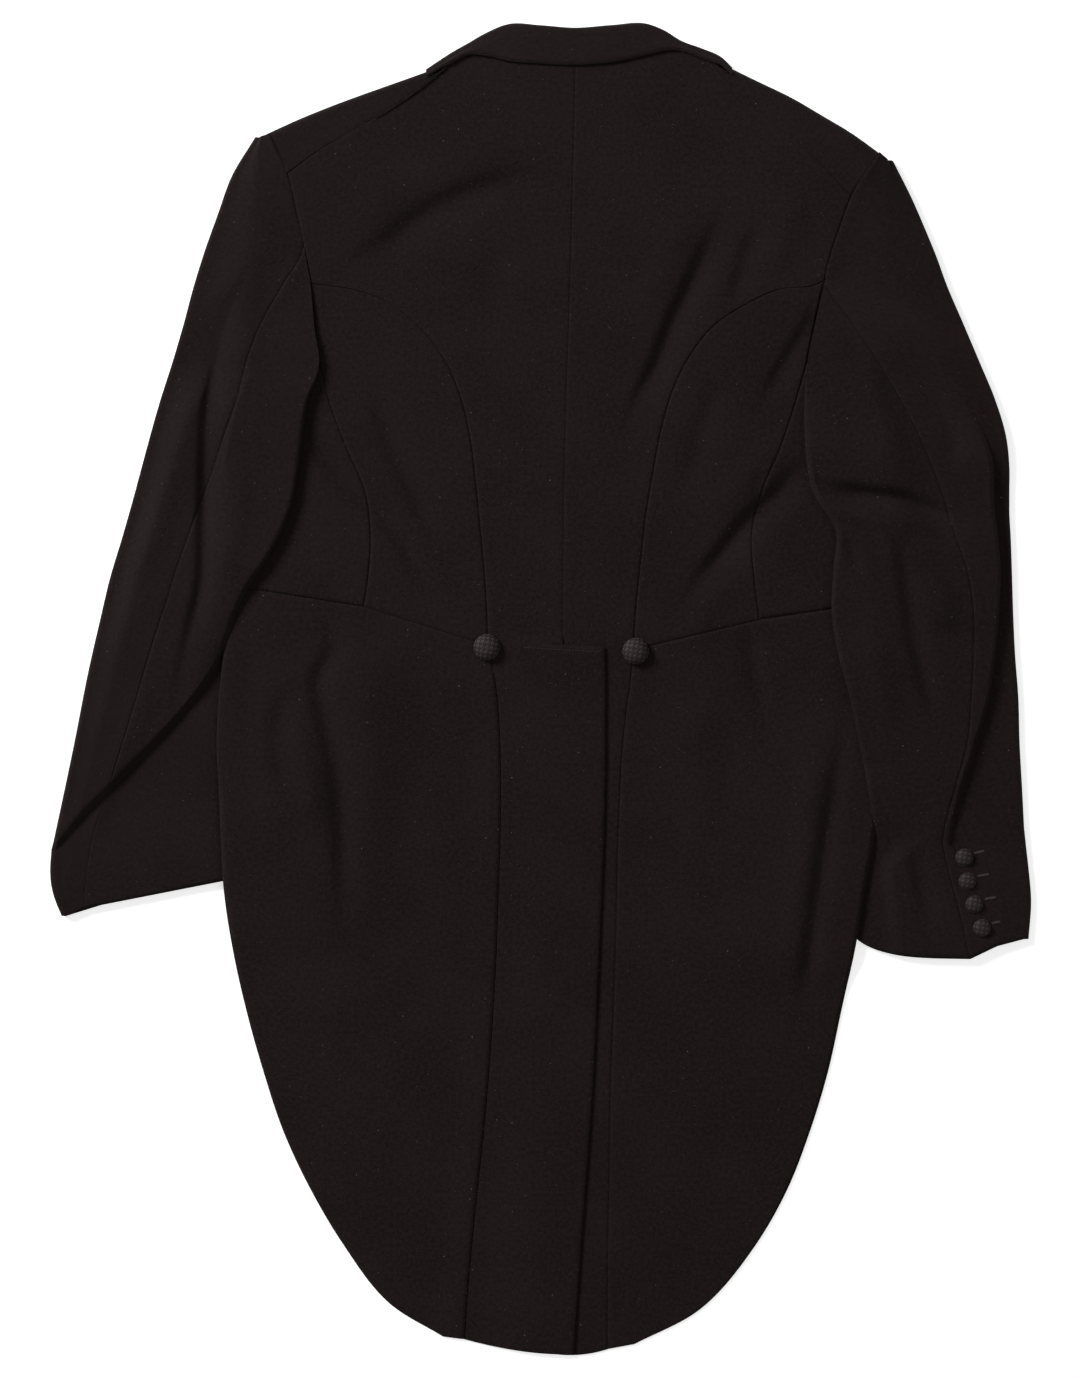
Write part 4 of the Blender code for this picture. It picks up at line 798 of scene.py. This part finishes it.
# --- Sleeves ---------------------------------------------------------------------------------------
# Two-piece sleeves lie beside the body. The top sleeve goes round the outside; the under sleeve
# lies inside the hind-arm seam and comes round below. The sleeve's lining is not shown, so each
# one is closed by its own cloth. Points are sections across the sleeve, from shoulder to cuff:
# inner edge, hind-arm seam, share of the crease on the top sleeve, outer edge, hidden inseam,
# heights at the inner edge, over the crease and outside it, lift by the body and its width, bow
# of the row, and how sharply the cloth steps down outside the crease.
SLEEVE_COLUMNS = ("z_inner", "z_crease", "z_outer", "lift", "hold", "bow", "step")
SLEEVE = {
    "left": [
        ((-211, 433.5), (-211, 433.5), 0.5, (-223, 431), (-215, 431), 12.5, 11, 8, 0, 0, 0, 0),
        ((-197, 402), (-197, 402), 0.5, (-241, 401), (-206, 402), 12, 12, 8, 0, 0, 0, 0),
        ((-190, 373), (-190, 373), 0.5, (-252, 371), (-202, 372), 11.5, 13, 8, 0, 0, 0, 0),
        ((-184, 345), (-184.6, 345), 0.5, (-262, 343), (-198, 344), 11, 13, 8, 0, 0, 0, 0),
        ((-179, 317), (-200, 316), 0.5, (-271, 314), (-198, 315), 11.5, 13, 8, 0, 0, 0, 0),
        ((-175.6, 282), (-218, 284), 0.5, (-279, 284), (-204, 283), 13, 13, 8, 11.5, 48, 0, 0),
        ((-172, 252), (-229, 254), 0.5, (-288, 254), (-246, 254), 15.5, 12.5, 5.5, 11.5, 50, 0, 0),
        ((-181, 225), (-236, 226), 0.5, (-297, 226), (-266, 226), 18, 13, 5, 11.5, 51, 0, 0),
        ((-185, 198), (-246, 198), 0.5, (-305, 198), (-268, 198), 18, 13, 5, 11.5, 52, 0, 0),
        ((-188.5, 172), (-255, 172), 0.5, (-312, 172), (-270, 172), 17.5, 12.5, 5, 11.5, 50, 0, 0),
        ((-193, 146), (-265, 146), 0.5, (-319, 146), (-272, 146), 17.5, 12.5, 5, 11.5, 46, 0, 0),
        ((-202, 122), (-274, 120), 0.5, (-327, 118), (-276, 121), 17.5, 12.5, 5, 11.5, 38, 0, 0),
        ((-214, 100), (-283, 95), 0.5, (-336, 88), (-282, 96), 17.5, 12.5, 5.5, 11.5, 26, 0, 0),
        ((-227, 81), (-291, 69), 0.5, (-344, 54), (-288, 72), 16.5, 13, 7, 8, 8, 0, 0),
        ((-236, 62), (-301, 40), 0.5, (-353, 14), (-290, 44), 14.5, 13, 9, 3, 3, -3, 0),
        ((-240.5, 47), (-315, -5), 0.5, (-364, -42), (-300, 5), 12.5, 12, 9, 0, 0, -8, 0),
        ((-245, 33), (-335, -68), 0.5, (-380, -118), (-310, -40), 10.5, 10.5, 9, 0, 0, -13, 0),
        ((-245.5, 27), (-337, -76), 0.5, (-382, -125), (-311, -46), 5, 6, 6, 0, 0, -13, 0),
        ((-242, -18), (-345, -98), 0.5, (-383, -143), (-316, -70), 4.8, 6.5, 6, 0, 0, -6, 0),
        ((-241, -65), (-350, -119), 0.5, (-382, -154), (-318, -98), 4.8, 6.5, 6, 0, 0, 0, 0),
        ((-240, -110), (-354, -142), 0.5, (-379, -165), (-320, -128), 4.8, 6.5, 6, 0, 0, 0, 0),
        ((-240, -149), (-356, -171), 0.5, (-374, -177), (-322, -162), 4.8, 6, 6, 0, 0, 0, 0)],
    "right": [
        ((264.5, 419), (264.5, 419), 0.5, (276, 413), (267, 416), 12.5, 11, 8, 0, 0, 0, 0),
        ((243, 385), (243, 385), 0.5, (291, 383), (254, 385), 12, 12, 8, 0, 0, 0, 0),
        ((234, 361), (234, 361), 0.5, (301, 360), (248, 361), 11.5, 13, 8, 0, 0, 0, 0),
        ((227, 340), (227, 340), 0.5, (310, 338), (244, 340), 11, 13, 8, 0, 0, 0, 0),
        ((222, 319), (222.6, 319), 0.5, (318, 316), (241, 319), 11, 13, 8, 0, 0, 0, 0),
        ((215, 288), (242, 288), 0.5, (330, 288), (240, 288), 12.5, 13, 8, 11.5, 46, 0, 0),
        ((208, 254), (264, 255), 0.6, (344, 255), (268, 255), 15, 13, 8, 11.5, 48, 0, 0),
        ((206, 226), (281, 226), 0.7, (356, 226), (288, 226), 18.5, 14, 8, 11.5, 50, 0, 0.2),
        ((206, 197), (296, 197), 0.75, (364.5, 197), (296, 197), 20, 14, 8, 11.5, 56, 0, 0.6),
        ((208, 173), (306, 173), 0.8, (367, 173), (298, 173), 20.5, 14.5, 7, 11.5, 55, 0, 1),
        ((212, 155), (313, 154), 0.78, (367, 155), (298, 155), 20.5, 14.5, 6, 11.5, 52, 0, 1),
        ((216, 147), (316, 146), 0.77, (367, 147), (298, 147), 20.5, 14.5, 6, 11.5, 48, 0, 1),
        ((222, 139), (318, 138), 0.77, (367, 139), (298, 139), 20.5, 14.5, 6, 11.5, 42, 0, 1),
        ((230, 124), (323, 122), 0.78, (368, 120), (298, 122), 20.5, 14.5, 6, 11.5, 34, 0, 1),
        ((228.5, 95), (333, 93), 0.76, (369, 92), (298, 94), 19.5, 14.5, 6, 11.5, 36, 0, 1),
        ((227, 62), (338, 60), 0.64, (370, 59), (298, 61), 19, 14, 6, 11.5, 37, 0, 1),
        ((232, 28), (338, 28), 0.5, (371.5, 27), (298, 28), 17.5, 13, 6, 11.5, 36, 0, 1),
        ((241, -5), (336.5, -5), 0.35, (374, -6), (298, -5), 16.5, 13, 6, 11, 29, 0, 1),
        ((248, -38), (333.5, -40), 0.1, (375, -42), (298, -38), 14.5, 13, 6, 10, 22, 0, 1),
        ((255.5, -75), (324, -76), 0.06, (377, -78), (298, -75), 12.5, 12, 6, 4.5, 8, 0, 1),
        ((258.5, -103), (316, -106), 0.06, (378.5, -108), (286, -104), 9.5, 10.5, 6, 0, 6, 0, 1),
        ((259, -116), (314, -120), 0.06, (380, -122), (288, -118), 6.5, 9.8, 6, 0, 10, 0, 1),
        ((246, -138), (319, -141), 0.3, (382, -140), (290, -140), 4.8, 9, 6, 0, 16, -2, 0.3),
        ((243, -162), (326, -165), 0.4, (384, -164), (292, -164), 4.8, 8, 6, 0, 22, -6, 0),
        ((239, -189), (336, -206), 0.5, (382, -195), (294, -203), 4.8, 7, 6, 0, 28, -13, 0)],
}
CAP_ROW = 6                   # row where the tube closes under the arm
HIND_ROW = {"left": 3, "right": 4}       # row where the hind-arm seam starts
TUCK_ROW = {"left": 16, "right": 20}     # row where the cuff dives under the skirt or the flap
CREASE_GAP = 2.6              # mm over which the cloth turns in the crease
SLEEVE_WALL = 1.4             # mm of the sleeve's cloth and lining, without canvas
SLEEVE_GRAIN = 0.25           # turn of the twill on the sleeve, in radians

# folds of the sleeves, as for the body
SLEEVE_FOLDS = [
    ([(-238, 372), (-243, 333), (-250, 279), (-257, 240), (-261, 190), (-262, 150), (-262, 110),
      (-264, 80), (-271, 50), (-279, 15), (-282, -10)], 6.5, -5.2, 0.3),
    ([(-268, 300), (-290, 180), (-318, 60)], 13, 1.8, 0.0),
    ([(-222, 340), (-228, 290), (-234, 240)], 10, 1.4, 0.0),
    ([(-232, 180), (-238, 120), (-248, 80)], 10, 1.6, 0.0),
    ([(-300, 20), (-318, -30), (-345, -85)], 10, 1.4, 0.0),
    ([(211, 186), (209, 168), (213, 153), (226, 143), (240, 136), (258, 130), (270, 118),
      (274, 100)], 5, 2.6, 0.0),
    ([(216, 159), (240, 154), (262, 151), (285, 148), (304, 140), (328, 131)], 7, -7.0, -0.3),
    ([(288, 252), (310, 220), (323, 198), (312, 167)], 9, -2.0, 0.0),
    ([(262, 122), (277, 114), (286, 77), (292, 39), (300, 8), (305, -10), (312, -34)], 7, -3.2, 0.2),
    ([(276, 116), (300, 120), (326, 116)], 10, -1.8, 0.0),
    ([(308, 96), (313, 70), (314, 44)], 11, 1.6, 0.0),
    ([(238, 120), (243, 106), (249, 90)], 4.5, -1.8, 0.0),
    ([(304, 82), (318, 83), (332, 83)], 5, -0.5, 0.0),
    ([(301, 42), (318, 42), (335, 43)], 5, -0.6, 0.0),
    ([(258, 66), (266, 0), (276, -60)], 11, 1.8, 0.0),
    ([(228, 268), (262, 250), (300, 232)], 12, -1.6, 0.0),
    ([(236, 330), (262, 290), (300, 262)], 16, 1.4, 0.0),
    ([(334, 330), (342, 280), (352, 230)], 9, -1.2, 0.0),
    ([(266, -106), (271, -135), (273, -165), (273, -200)], 4, 1.2, 0.0),
    ([(292, -118), (297, -145), (304, -190)], 8, -2.6, 0.3),
]


def sleeve_relief(plan, base):
    """Folds and unevenness of a sleeve, which grow with the height of the cloth over the table."""
    x, y = plan[..., 0], plan[..., 1]
    return (relief(SLEEVE_FOLDS, x, y) + 0.7 * ripple(x, y, 5, 75.0)) * np.clip((base - 4) / 5, 0, 1)


def hind_seam(distance, height):
    """The hind-arm seam, which shows where the sleeve stands more than 5.5 mm off the table."""
    return seam_roll(distance, 0.5) * np.clip((height - 5.5) / 2, 0, 1)


def turned_in(edge, height, outward):
    """Edge of the sleeve at the armhole, turned down to the body that it is sewn to."""
    foot = np.minimum(height - 0.2, upper_face(edge[:, 0], edge[:, 1]) - 2.0)
    return np.stack([np.column_stack([edge, height]), np.column_stack([edge + 0.5 * outward, foot])], axis=1)


for side, sign in (("left", -1.0), ("right", 1.0)):
    outward = np.array([sign, 0.0])
    table = SLEEVE[side]
    hind, turn = HIND_ROW[side], (TUCK_ROW[side], TUCK_ROW[side] + 1)
    inner, seam, outer, inseam = (fair_curve([row[place] for row in table], STEPS, turn)
                                  for place in (0, 1, 3, 4))
    share = fair_curve([row[2] for row in table], STEPS, turn)[:, 0]
    size = {name: fair_curve([row[5 + place] for row in table], STEPS, turn)[:, 0]
            for place, name in enumerate(SLEEVE_COLUMNS)}
    count = len(inner)
    flat_outer = outer - REACH * outward
    crease = seam + (flat_outer - seam) * share[:, None]
    past = toward(crease, flat_outer, CREASE_GAP)
    apart = np.linalg.norm(seam - inner, axis=1)
    near = np.where(np.arange(count) > hind * STEPS, ease(1.0 - (apart - size["hold"]) / 20.0), 1.0)
    z_hind = size["z_crease"] + (size["z_inner"] - size["z_crease"]) * near
    hind_line = seam + np.stack([np.zeros(count), 0.35 * size["bow"]], axis=1)

    inside = spaced(hind_line, crease, 18, end=False)
    run = np.linalg.norm(inside - inside[:, :1], axis=2)
    base = z_hind[:, None] + (size["z_crease"] - z_hind)[:, None] * ease(run / run[:, -1:])
    height = base + sleeve_relief(inside, base)
    outside = past[:, None] + (flat_outer - past)[:, None] * np.linspace(0, 1, 16)[None, :, None]
    z_past = size["z_crease"] + (size["z_outer"] + 0.8 - size["z_crease"]) * size["step"]
    slope = ease(np.linspace(0, 1, 16))[None, :]
    ridge = z_past[:, None] + (size["z_outer"] - z_past)[:, None] * slope
    settle = (1 - size["step"][:, None]) * (1 - slope)
    outside_height = ridge + settle * (height[:, -1:] - size["z_crease"][:, None])
    plan = np.concatenate([inside, outside], axis=1)
    height = np.concatenate([height, outside_height], axis=1)
    height += hind_seam(edge_distance(plan, ("first",)), height)
    cuff_plan, cuff_height = plan, height
    rolled = folded_edge(outer, np.tile(outward, (count, 1)), height[:, -1], np.zeros(count))
    below = flat_outer[:, None] + (inseam - flat_outer)[:, None] * np.linspace(0, 1, 7)[None, :, None]
    around = joined(raised(plan, height), rolled, raised(below, np.zeros(below.shape[:2])))
    tip = around[:1] * np.array([1.0, 1.0, 0.0])
    seam_end = hind * STEPS + 1
    top_sleeve = cloth_piece(f"sleeve_{side}_top_cloth",
                             [np.concatenate([tip, around]),
                              turned_in(plan[:seam_end, 0], height[:seam_end, 0], outward)],
                             [True, False], black_wool, SLEEVE_WALL, sign * SLEEVE_GRAIN)
    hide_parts(f"sleeve_{side}_top")

    rows = slice(hind * STEPS, count)
    cap = CAP_ROW * STEPS - hind * STEPS
    reach = REACH * np.maximum(0.05, ease((np.arange(count) - CAP_ROW * STEPS) / (2.0 * STEPS)))
    reach[:CAP_ROW * STEPS] = 0.0
    first = (inner + reach[:, None] * outward)[rows]
    last = hind_line[rows]
    plan = spaced(first, last, 28)
    run = np.linalg.norm(plan - plan[:, :1], axis=2)
    length = np.maximum(run[:, -1:], 1e-6)
    plan[..., 1] += 0.8 * size["bow"][rows][:, None] * np.sin(np.pi * (run / length) ** 0.6)
    hold = size["hold"][rows][:, None]
    lower_layer = ease((np.arange(count) - TUCK_ROW[side] * STEPS) / (2.0 * STEPS))[rows, None]
    fall = ease((run - hold) / (12.0 + (1.0 - lower_layer) * np.maximum(length - hold - 12.0, -11.0)))
    base = size["z_inner"][rows][:, None] + (z_hind - size["z_inner"])[rows][:, None] * fall
    height = base + sleeve_relief(plan, base)
    height += hind_seam(edge_distance(plan, ("last",)), height)
    flat_inner = plan[cap:, 0]
    lift = size["lift"][rows][cap:]
    reach = reach[rows][cap:]
    rolled = folded_edge(flat_inner - reach[:, None] * outward, np.tile(-outward, (len(flat_inner), 1)),
                         height[cap:, 0], lift, reach)
    far = inseam[rows][cap:]
    span = np.linalg.norm(far - flat_inner, axis=1)[:, None]
    held = np.clip(size["hold"][rows][cap:, None], 8.0, span * 0.75)
    steps = np.linspace(0, 1, 13)[None, :] * span
    below = flat_inner[:, None] + (far - flat_inner)[:, None] * (steps / span)[..., None]
    below_height = lift[:, None] * (1 - ease((steps - held) / np.minimum(18.0, span - held)))
    under_sleeve = cloth_piece(f"sleeve_{side}_under_cloth",
                               [raised(plan, height), joined(rolled, raised(below, below_height)),
                                turned_in(plan[:cap + 1, 0], height[:cap + 1, 0], outward)],
                               [True, True, False], black_wool, SLEEVE_WALL, sign * SLEEVE_GRAIN)
    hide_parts(f"sleeve_{side}_under")

# --- Buttons ---------------------------------------------------------------------------------------
# Domed buttons covered in a black basket weave, two threads over two. Two large ones sit on the
# heads of the tail pleats, four small ones down the vent of the right cuff.
# name, x, y, height of the flat back, diameter
BUTTONS = [("hip_button_left", -41.5, 33, 7.95, 21), ("hip_button_right", 74.6, 30, 7.85, 21),
           ("cuff_button_1", 331, -131, 7.8, 14), ("cuff_button_2", 333.5, -149.5, 7.3, 14),
           ("cuff_button_3", 339, -167.5, 6.95, 14), ("cuff_button_4", 345, -186, 6.65, 14)]
# radius and height in diameters, from the middle of the dome to the edge and round to the back
BUTTON_PROFILE = [(0, 0.34), (0.16, 0.33), (0.3, 0.29), (0.42, 0.2), (0.49, 0.1),
                  (0.47, 0.02), (0.4, 0), (0, 0)]
CHECK = 2.7                   # width of one check of the weave
WEAVE_TURN = 0.95             # turn of the weave on the button, in radians
THREAD = 0.34                 # height of a thread in the middle of its check


def weave(u, v):
    """Basket weave: in every second check two threads run along u, in the others along v. Each is a
    half round across its width and dips under its neighbours at the ends of its check. Returns the
    height and the painted light of the weave: painted shade in the grooves, a painted highlight on
    the crown of each thread, and painted shade on the threads that run along v, as if they caught less light."""
    along, across = np.mod(u / CHECK, 1.0), np.mod(v / CHECK, 1.0)
    turned = np.mod(np.floor(u / CHECK) + np.floor(v / CHECK), 2) > 0.5
    along, across = np.where(turned, across, along), np.where(turned, along, across)
    height = np.sqrt(np.abs(np.sin(math.pi * along))) * np.abs(np.sin(2 * math.pi * across)) ** 0.7
    # second value: painted light, higher on high thread, lower in the grooves and on threads along v
    return height, height * np.where(turned, 0.35, 1.0)


def woven_cover(name):
    """Black cover of dress silk, with painted shade in its grooves and a painted highlight on the crown of
    each thread.
    """
    cover = Finish(name)
    painted_weave_light = cover.node("ShaderNodeAttribute", {"attribute_name": "painted_weave_light"}, (), 2)
    place = cover.node("ShaderNodeTexCoord", (), (), 3)
    fibre = cover.noise(place, 2500.0, 2.0)
    # painted light: the colour runs from the painted shade of the grooves to the painted highlight on the
    # threads' crowns
    cover.set(Base_Color=cover.blend(painted_weave_light * (fibre * 0.5 + 0.75), (0.005, 0.0035, 0.0035, 1.0),
                                     (0.062, 0.045, 0.043, 1.0)),
              Roughness=painted_weave_light * -0.2 + 0.7,
              Normal=cover.node("ShaderNodeBump", {}, {"Strength": 0.3, "Distance": 0.0002, "Height": fibre}))
    cover.set(Specular_IOR_Level=0.2)
    return cover.material


def add_mesh(name, points, quads, finish):
    """A smooth closed piece from its points in metres and its four-cornered faces."""
    mesh = bpy.data.meshes.new(name)
    mesh.from_pydata(points, [], quads)
    mesh.materials.append(finish)
    piece = bpy.data.objects.new(name, mesh)
    bpy.context.scene.collection.objects.link(piece)
    return piece


def wrapped_grid(rows, columns):
    """Faces of a grid whose last column joins its first one."""
    index = np.arange(rows * columns).reshape(rows, columns)
    following = np.roll(index, -1, axis=1)
    return np.stack([index[:-1], index[1:], following[1:], following[:-1]], axis=-1).reshape(-1, 4)


def close_poles(piece):
    """Merge the points of each pole, turn the faces out and shade them smooth."""
    closed = bmesh.new()
    closed.from_mesh(piece.data)
    bmesh.ops.remove_doubles(closed, verts=closed.verts, dist=0.000005)
    bmesh.ops.recalc_face_normals(closed, faces=closed.faces)
    closed.to_mesh(piece.data)
    closed.free()
    piece.data.polygons.foreach_set("use_smooth", np.ones(len(piece.data.polygons), bool))


covered = woven_cover("covered_button")
for name, x, y, z, diameter in BUTTONS:
    rings, sectors = (92, 128) if diameter > 15 else (68, 96)
    profile = fair_curve(BUTTON_PROFILE, 20, (6,))
    length = np.concatenate([[0.0], np.cumsum(np.linalg.norm(np.diff(profile, axis=0), axis=1))]) * diameter
    even = np.linspace(0.0, length[-1], rings)
    radius, rise = (np.interp(even, length, profile[:, place]) * diameter for place in (0, 1))
    angle = np.linspace(0, 2 * math.pi, sectors, endpoint=False)
    u = radius[:, None] * np.cos(angle)
    v = radius[:, None] * np.sin(angle)
    arc = np.minimum(even, 0.75 * diameter)[:, None]
    turn = angle + WEAVE_TURN
    # tone is the weave's painted light: painted highlight on thread crowns, painted shade in the grooves
    thread, tone = weave(arc * np.cos(turn) + CHECK / 2, arc * np.sin(turn) + CHECK / 2)
    front = ease((0.66 * diameter - even) / (0.06 * diameter))[:, None]
    grown = THREAD * (thread - 0.5) * front
    slope = np.gradient(rise) / np.maximum(np.hypot(np.gradient(radius), np.gradient(rise)), 1e-6)
    out = 1.0 - grown * slope[:, None] / np.maximum(radius[:, None], 0.5)
    lift = rise[:, None] + grown * np.sqrt(np.maximum(0.0, 1 - slope ** 2))[:, None]
    points = np.stack([x + u * out, y + v * out, z + np.maximum(lift, 0.0)], axis=-1).reshape(-1, 3) * MM
    button = add_mesh(f"{name}_cover", points, wrapped_grid(rings, sectors), covered)
    # painted light of the weave on each point, for the cover's colour: highlight on the crowns, shade in the
    # grooves
    layer = button.data.attributes.new("painted_weave_light", "FLOAT", "POINT")
    layer.data.foreach_set("value", (tone * front).ravel().astype(np.float32))
    close_poles(button)
    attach(button, "root")
    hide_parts(name)

# --- Buttonholes and hook stitches ---------------------------------------------------------------------
# Four worked buttonholes in black silk twist run from the cuff's buttons towards its edge. The top of
# the tail vent is held by a row of small stitches through both layers.
# start x, start y, end x, end y
BUTTONHOLES = [(338.5, -127.8, 347, -126), (341.5, -145.6, 350.5, -144), (347, -163.6, 356, -162),
               (352.5, -182.4, 359.5, -181)]


def height_at(plan, height, x, y):
    """Height of the grid point that is nearest to a place."""
    near = np.hypot(plan[..., 0] - x, plan[..., 1] - y)
    return height.ravel()[near.argmin()]


def thread_bar(start, end, width, rise, stitches, slit):
    """Raised bar of thread: an ellipse carried from start to end, rounded at both ends, notched
    between its stitches and, for a buttonhole, sunk along its slit."""
    s = np.linspace(0.0, 1.0, 12 * max(3, stitches))[:, None]
    angle = np.linspace(0, 2 * math.pi, 20, endpoint=False)[None, :]
    blunt = np.sqrt(np.clip(1 - np.abs(2 * s - 1) ** 8, 0, 1))
    notch = 1.0 - 0.22 * np.abs(np.cos(math.pi * stitches * s)) ** 3
    side = np.cos(angle) * width / 2 * blunt * notch
    top = np.sin(angle) * rise * blunt * notch
    top = top - slit * rise * np.exp(-(np.cos(angle) / 0.28) ** 2) * (np.sin(angle) > 0) * blunt
    start, end = np.array(start, float), np.array(end, float)
    line = start + (end - start) * s
    along = (end - start)[:2] / np.linalg.norm((end - start)[:2])
    points = np.stack([line[:, :1] - along[1] * side, line[:, 1:2] + along[0] * side,
                       line[:, 2:] + top], axis=-1)
    return points.reshape(-1, 3) * MM, wrapped_grid(len(s), 20)


def thread_piece(name, bars, finish):
    """Several bars of thread as one piece."""
    points = np.concatenate([bar[0] for bar in bars])
    starts = np.cumsum([0] + [len(bar[0]) for bar in bars[:-1]])
    quads = np.concatenate([bar[1] + start for bar, start in zip(bars, starts)])
    piece = add_mesh(name, points, quads, finish)
    close_poles(piece)
    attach(piece, "root")
    return piece


twist = Finish("silk_twist")
strand = twist.noise(twist.node("ShaderNodeTexCoord", (), (), 3), 1800.0, 2.0)
twist.set(Base_Color=twist.blend(strand, (0.012, 0.009, 0.009, 1.0), (0.046, 0.035, 0.034, 1.0)),
          Roughness=strand * 0.2 + 0.5)
bars = []
for x0, y0, x1, y1 in BUTTONHOLES:
    levels = [height_at(cuff_plan, cuff_height, x, y) for x, y in ((x0, y0), (x1, y1))]
    bars.append(thread_bar((x0, y0, levels[0] + 0.1), (x1, y1, levels[1] + 0.1), 1.9, 0.6, 9, 0.7))
thread_piece("cuff_buttonholes", bars, twist.material)

dull = Finish("sewing_thread")
ply = dull.noise(dull.node("ShaderNodeTexCoord", (), (), 3), 1800.0, 2.0)
dull.set(Base_Color=dull.blend(ply, (0.010, 0.007, 0.007, 1.0), (0.034, 0.025, 0.025, 1.0)),
         Roughness=ply * 0.1 + 0.75)
bars = []
HOOK_STITCHES = 24
for number in range(HOOK_STITCHES):
    share = (number + 0.5) / HOOK_STITCHES
    x = HOOK[0][0] + (HOOK[1][0] - HOOK[0][0] - 3.0) * share
    y = HOOK[0][1] + (HOOK[1][1] - HOOK[0][1]) * share - 3.6
    level = height_at(hook_plan, hook_height, x, y)
    bars.append(thread_bar((x - 0.8, y, level), (x + 0.8, y - 0.1, level), 0.6, 0.3, 1, 0.0))
thread_piece("hook_stitches", bars, dull.material)

# --- Sizes -----------------------------------------------------------------------------------------
# The box round every shown piece but the table top.
low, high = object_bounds()
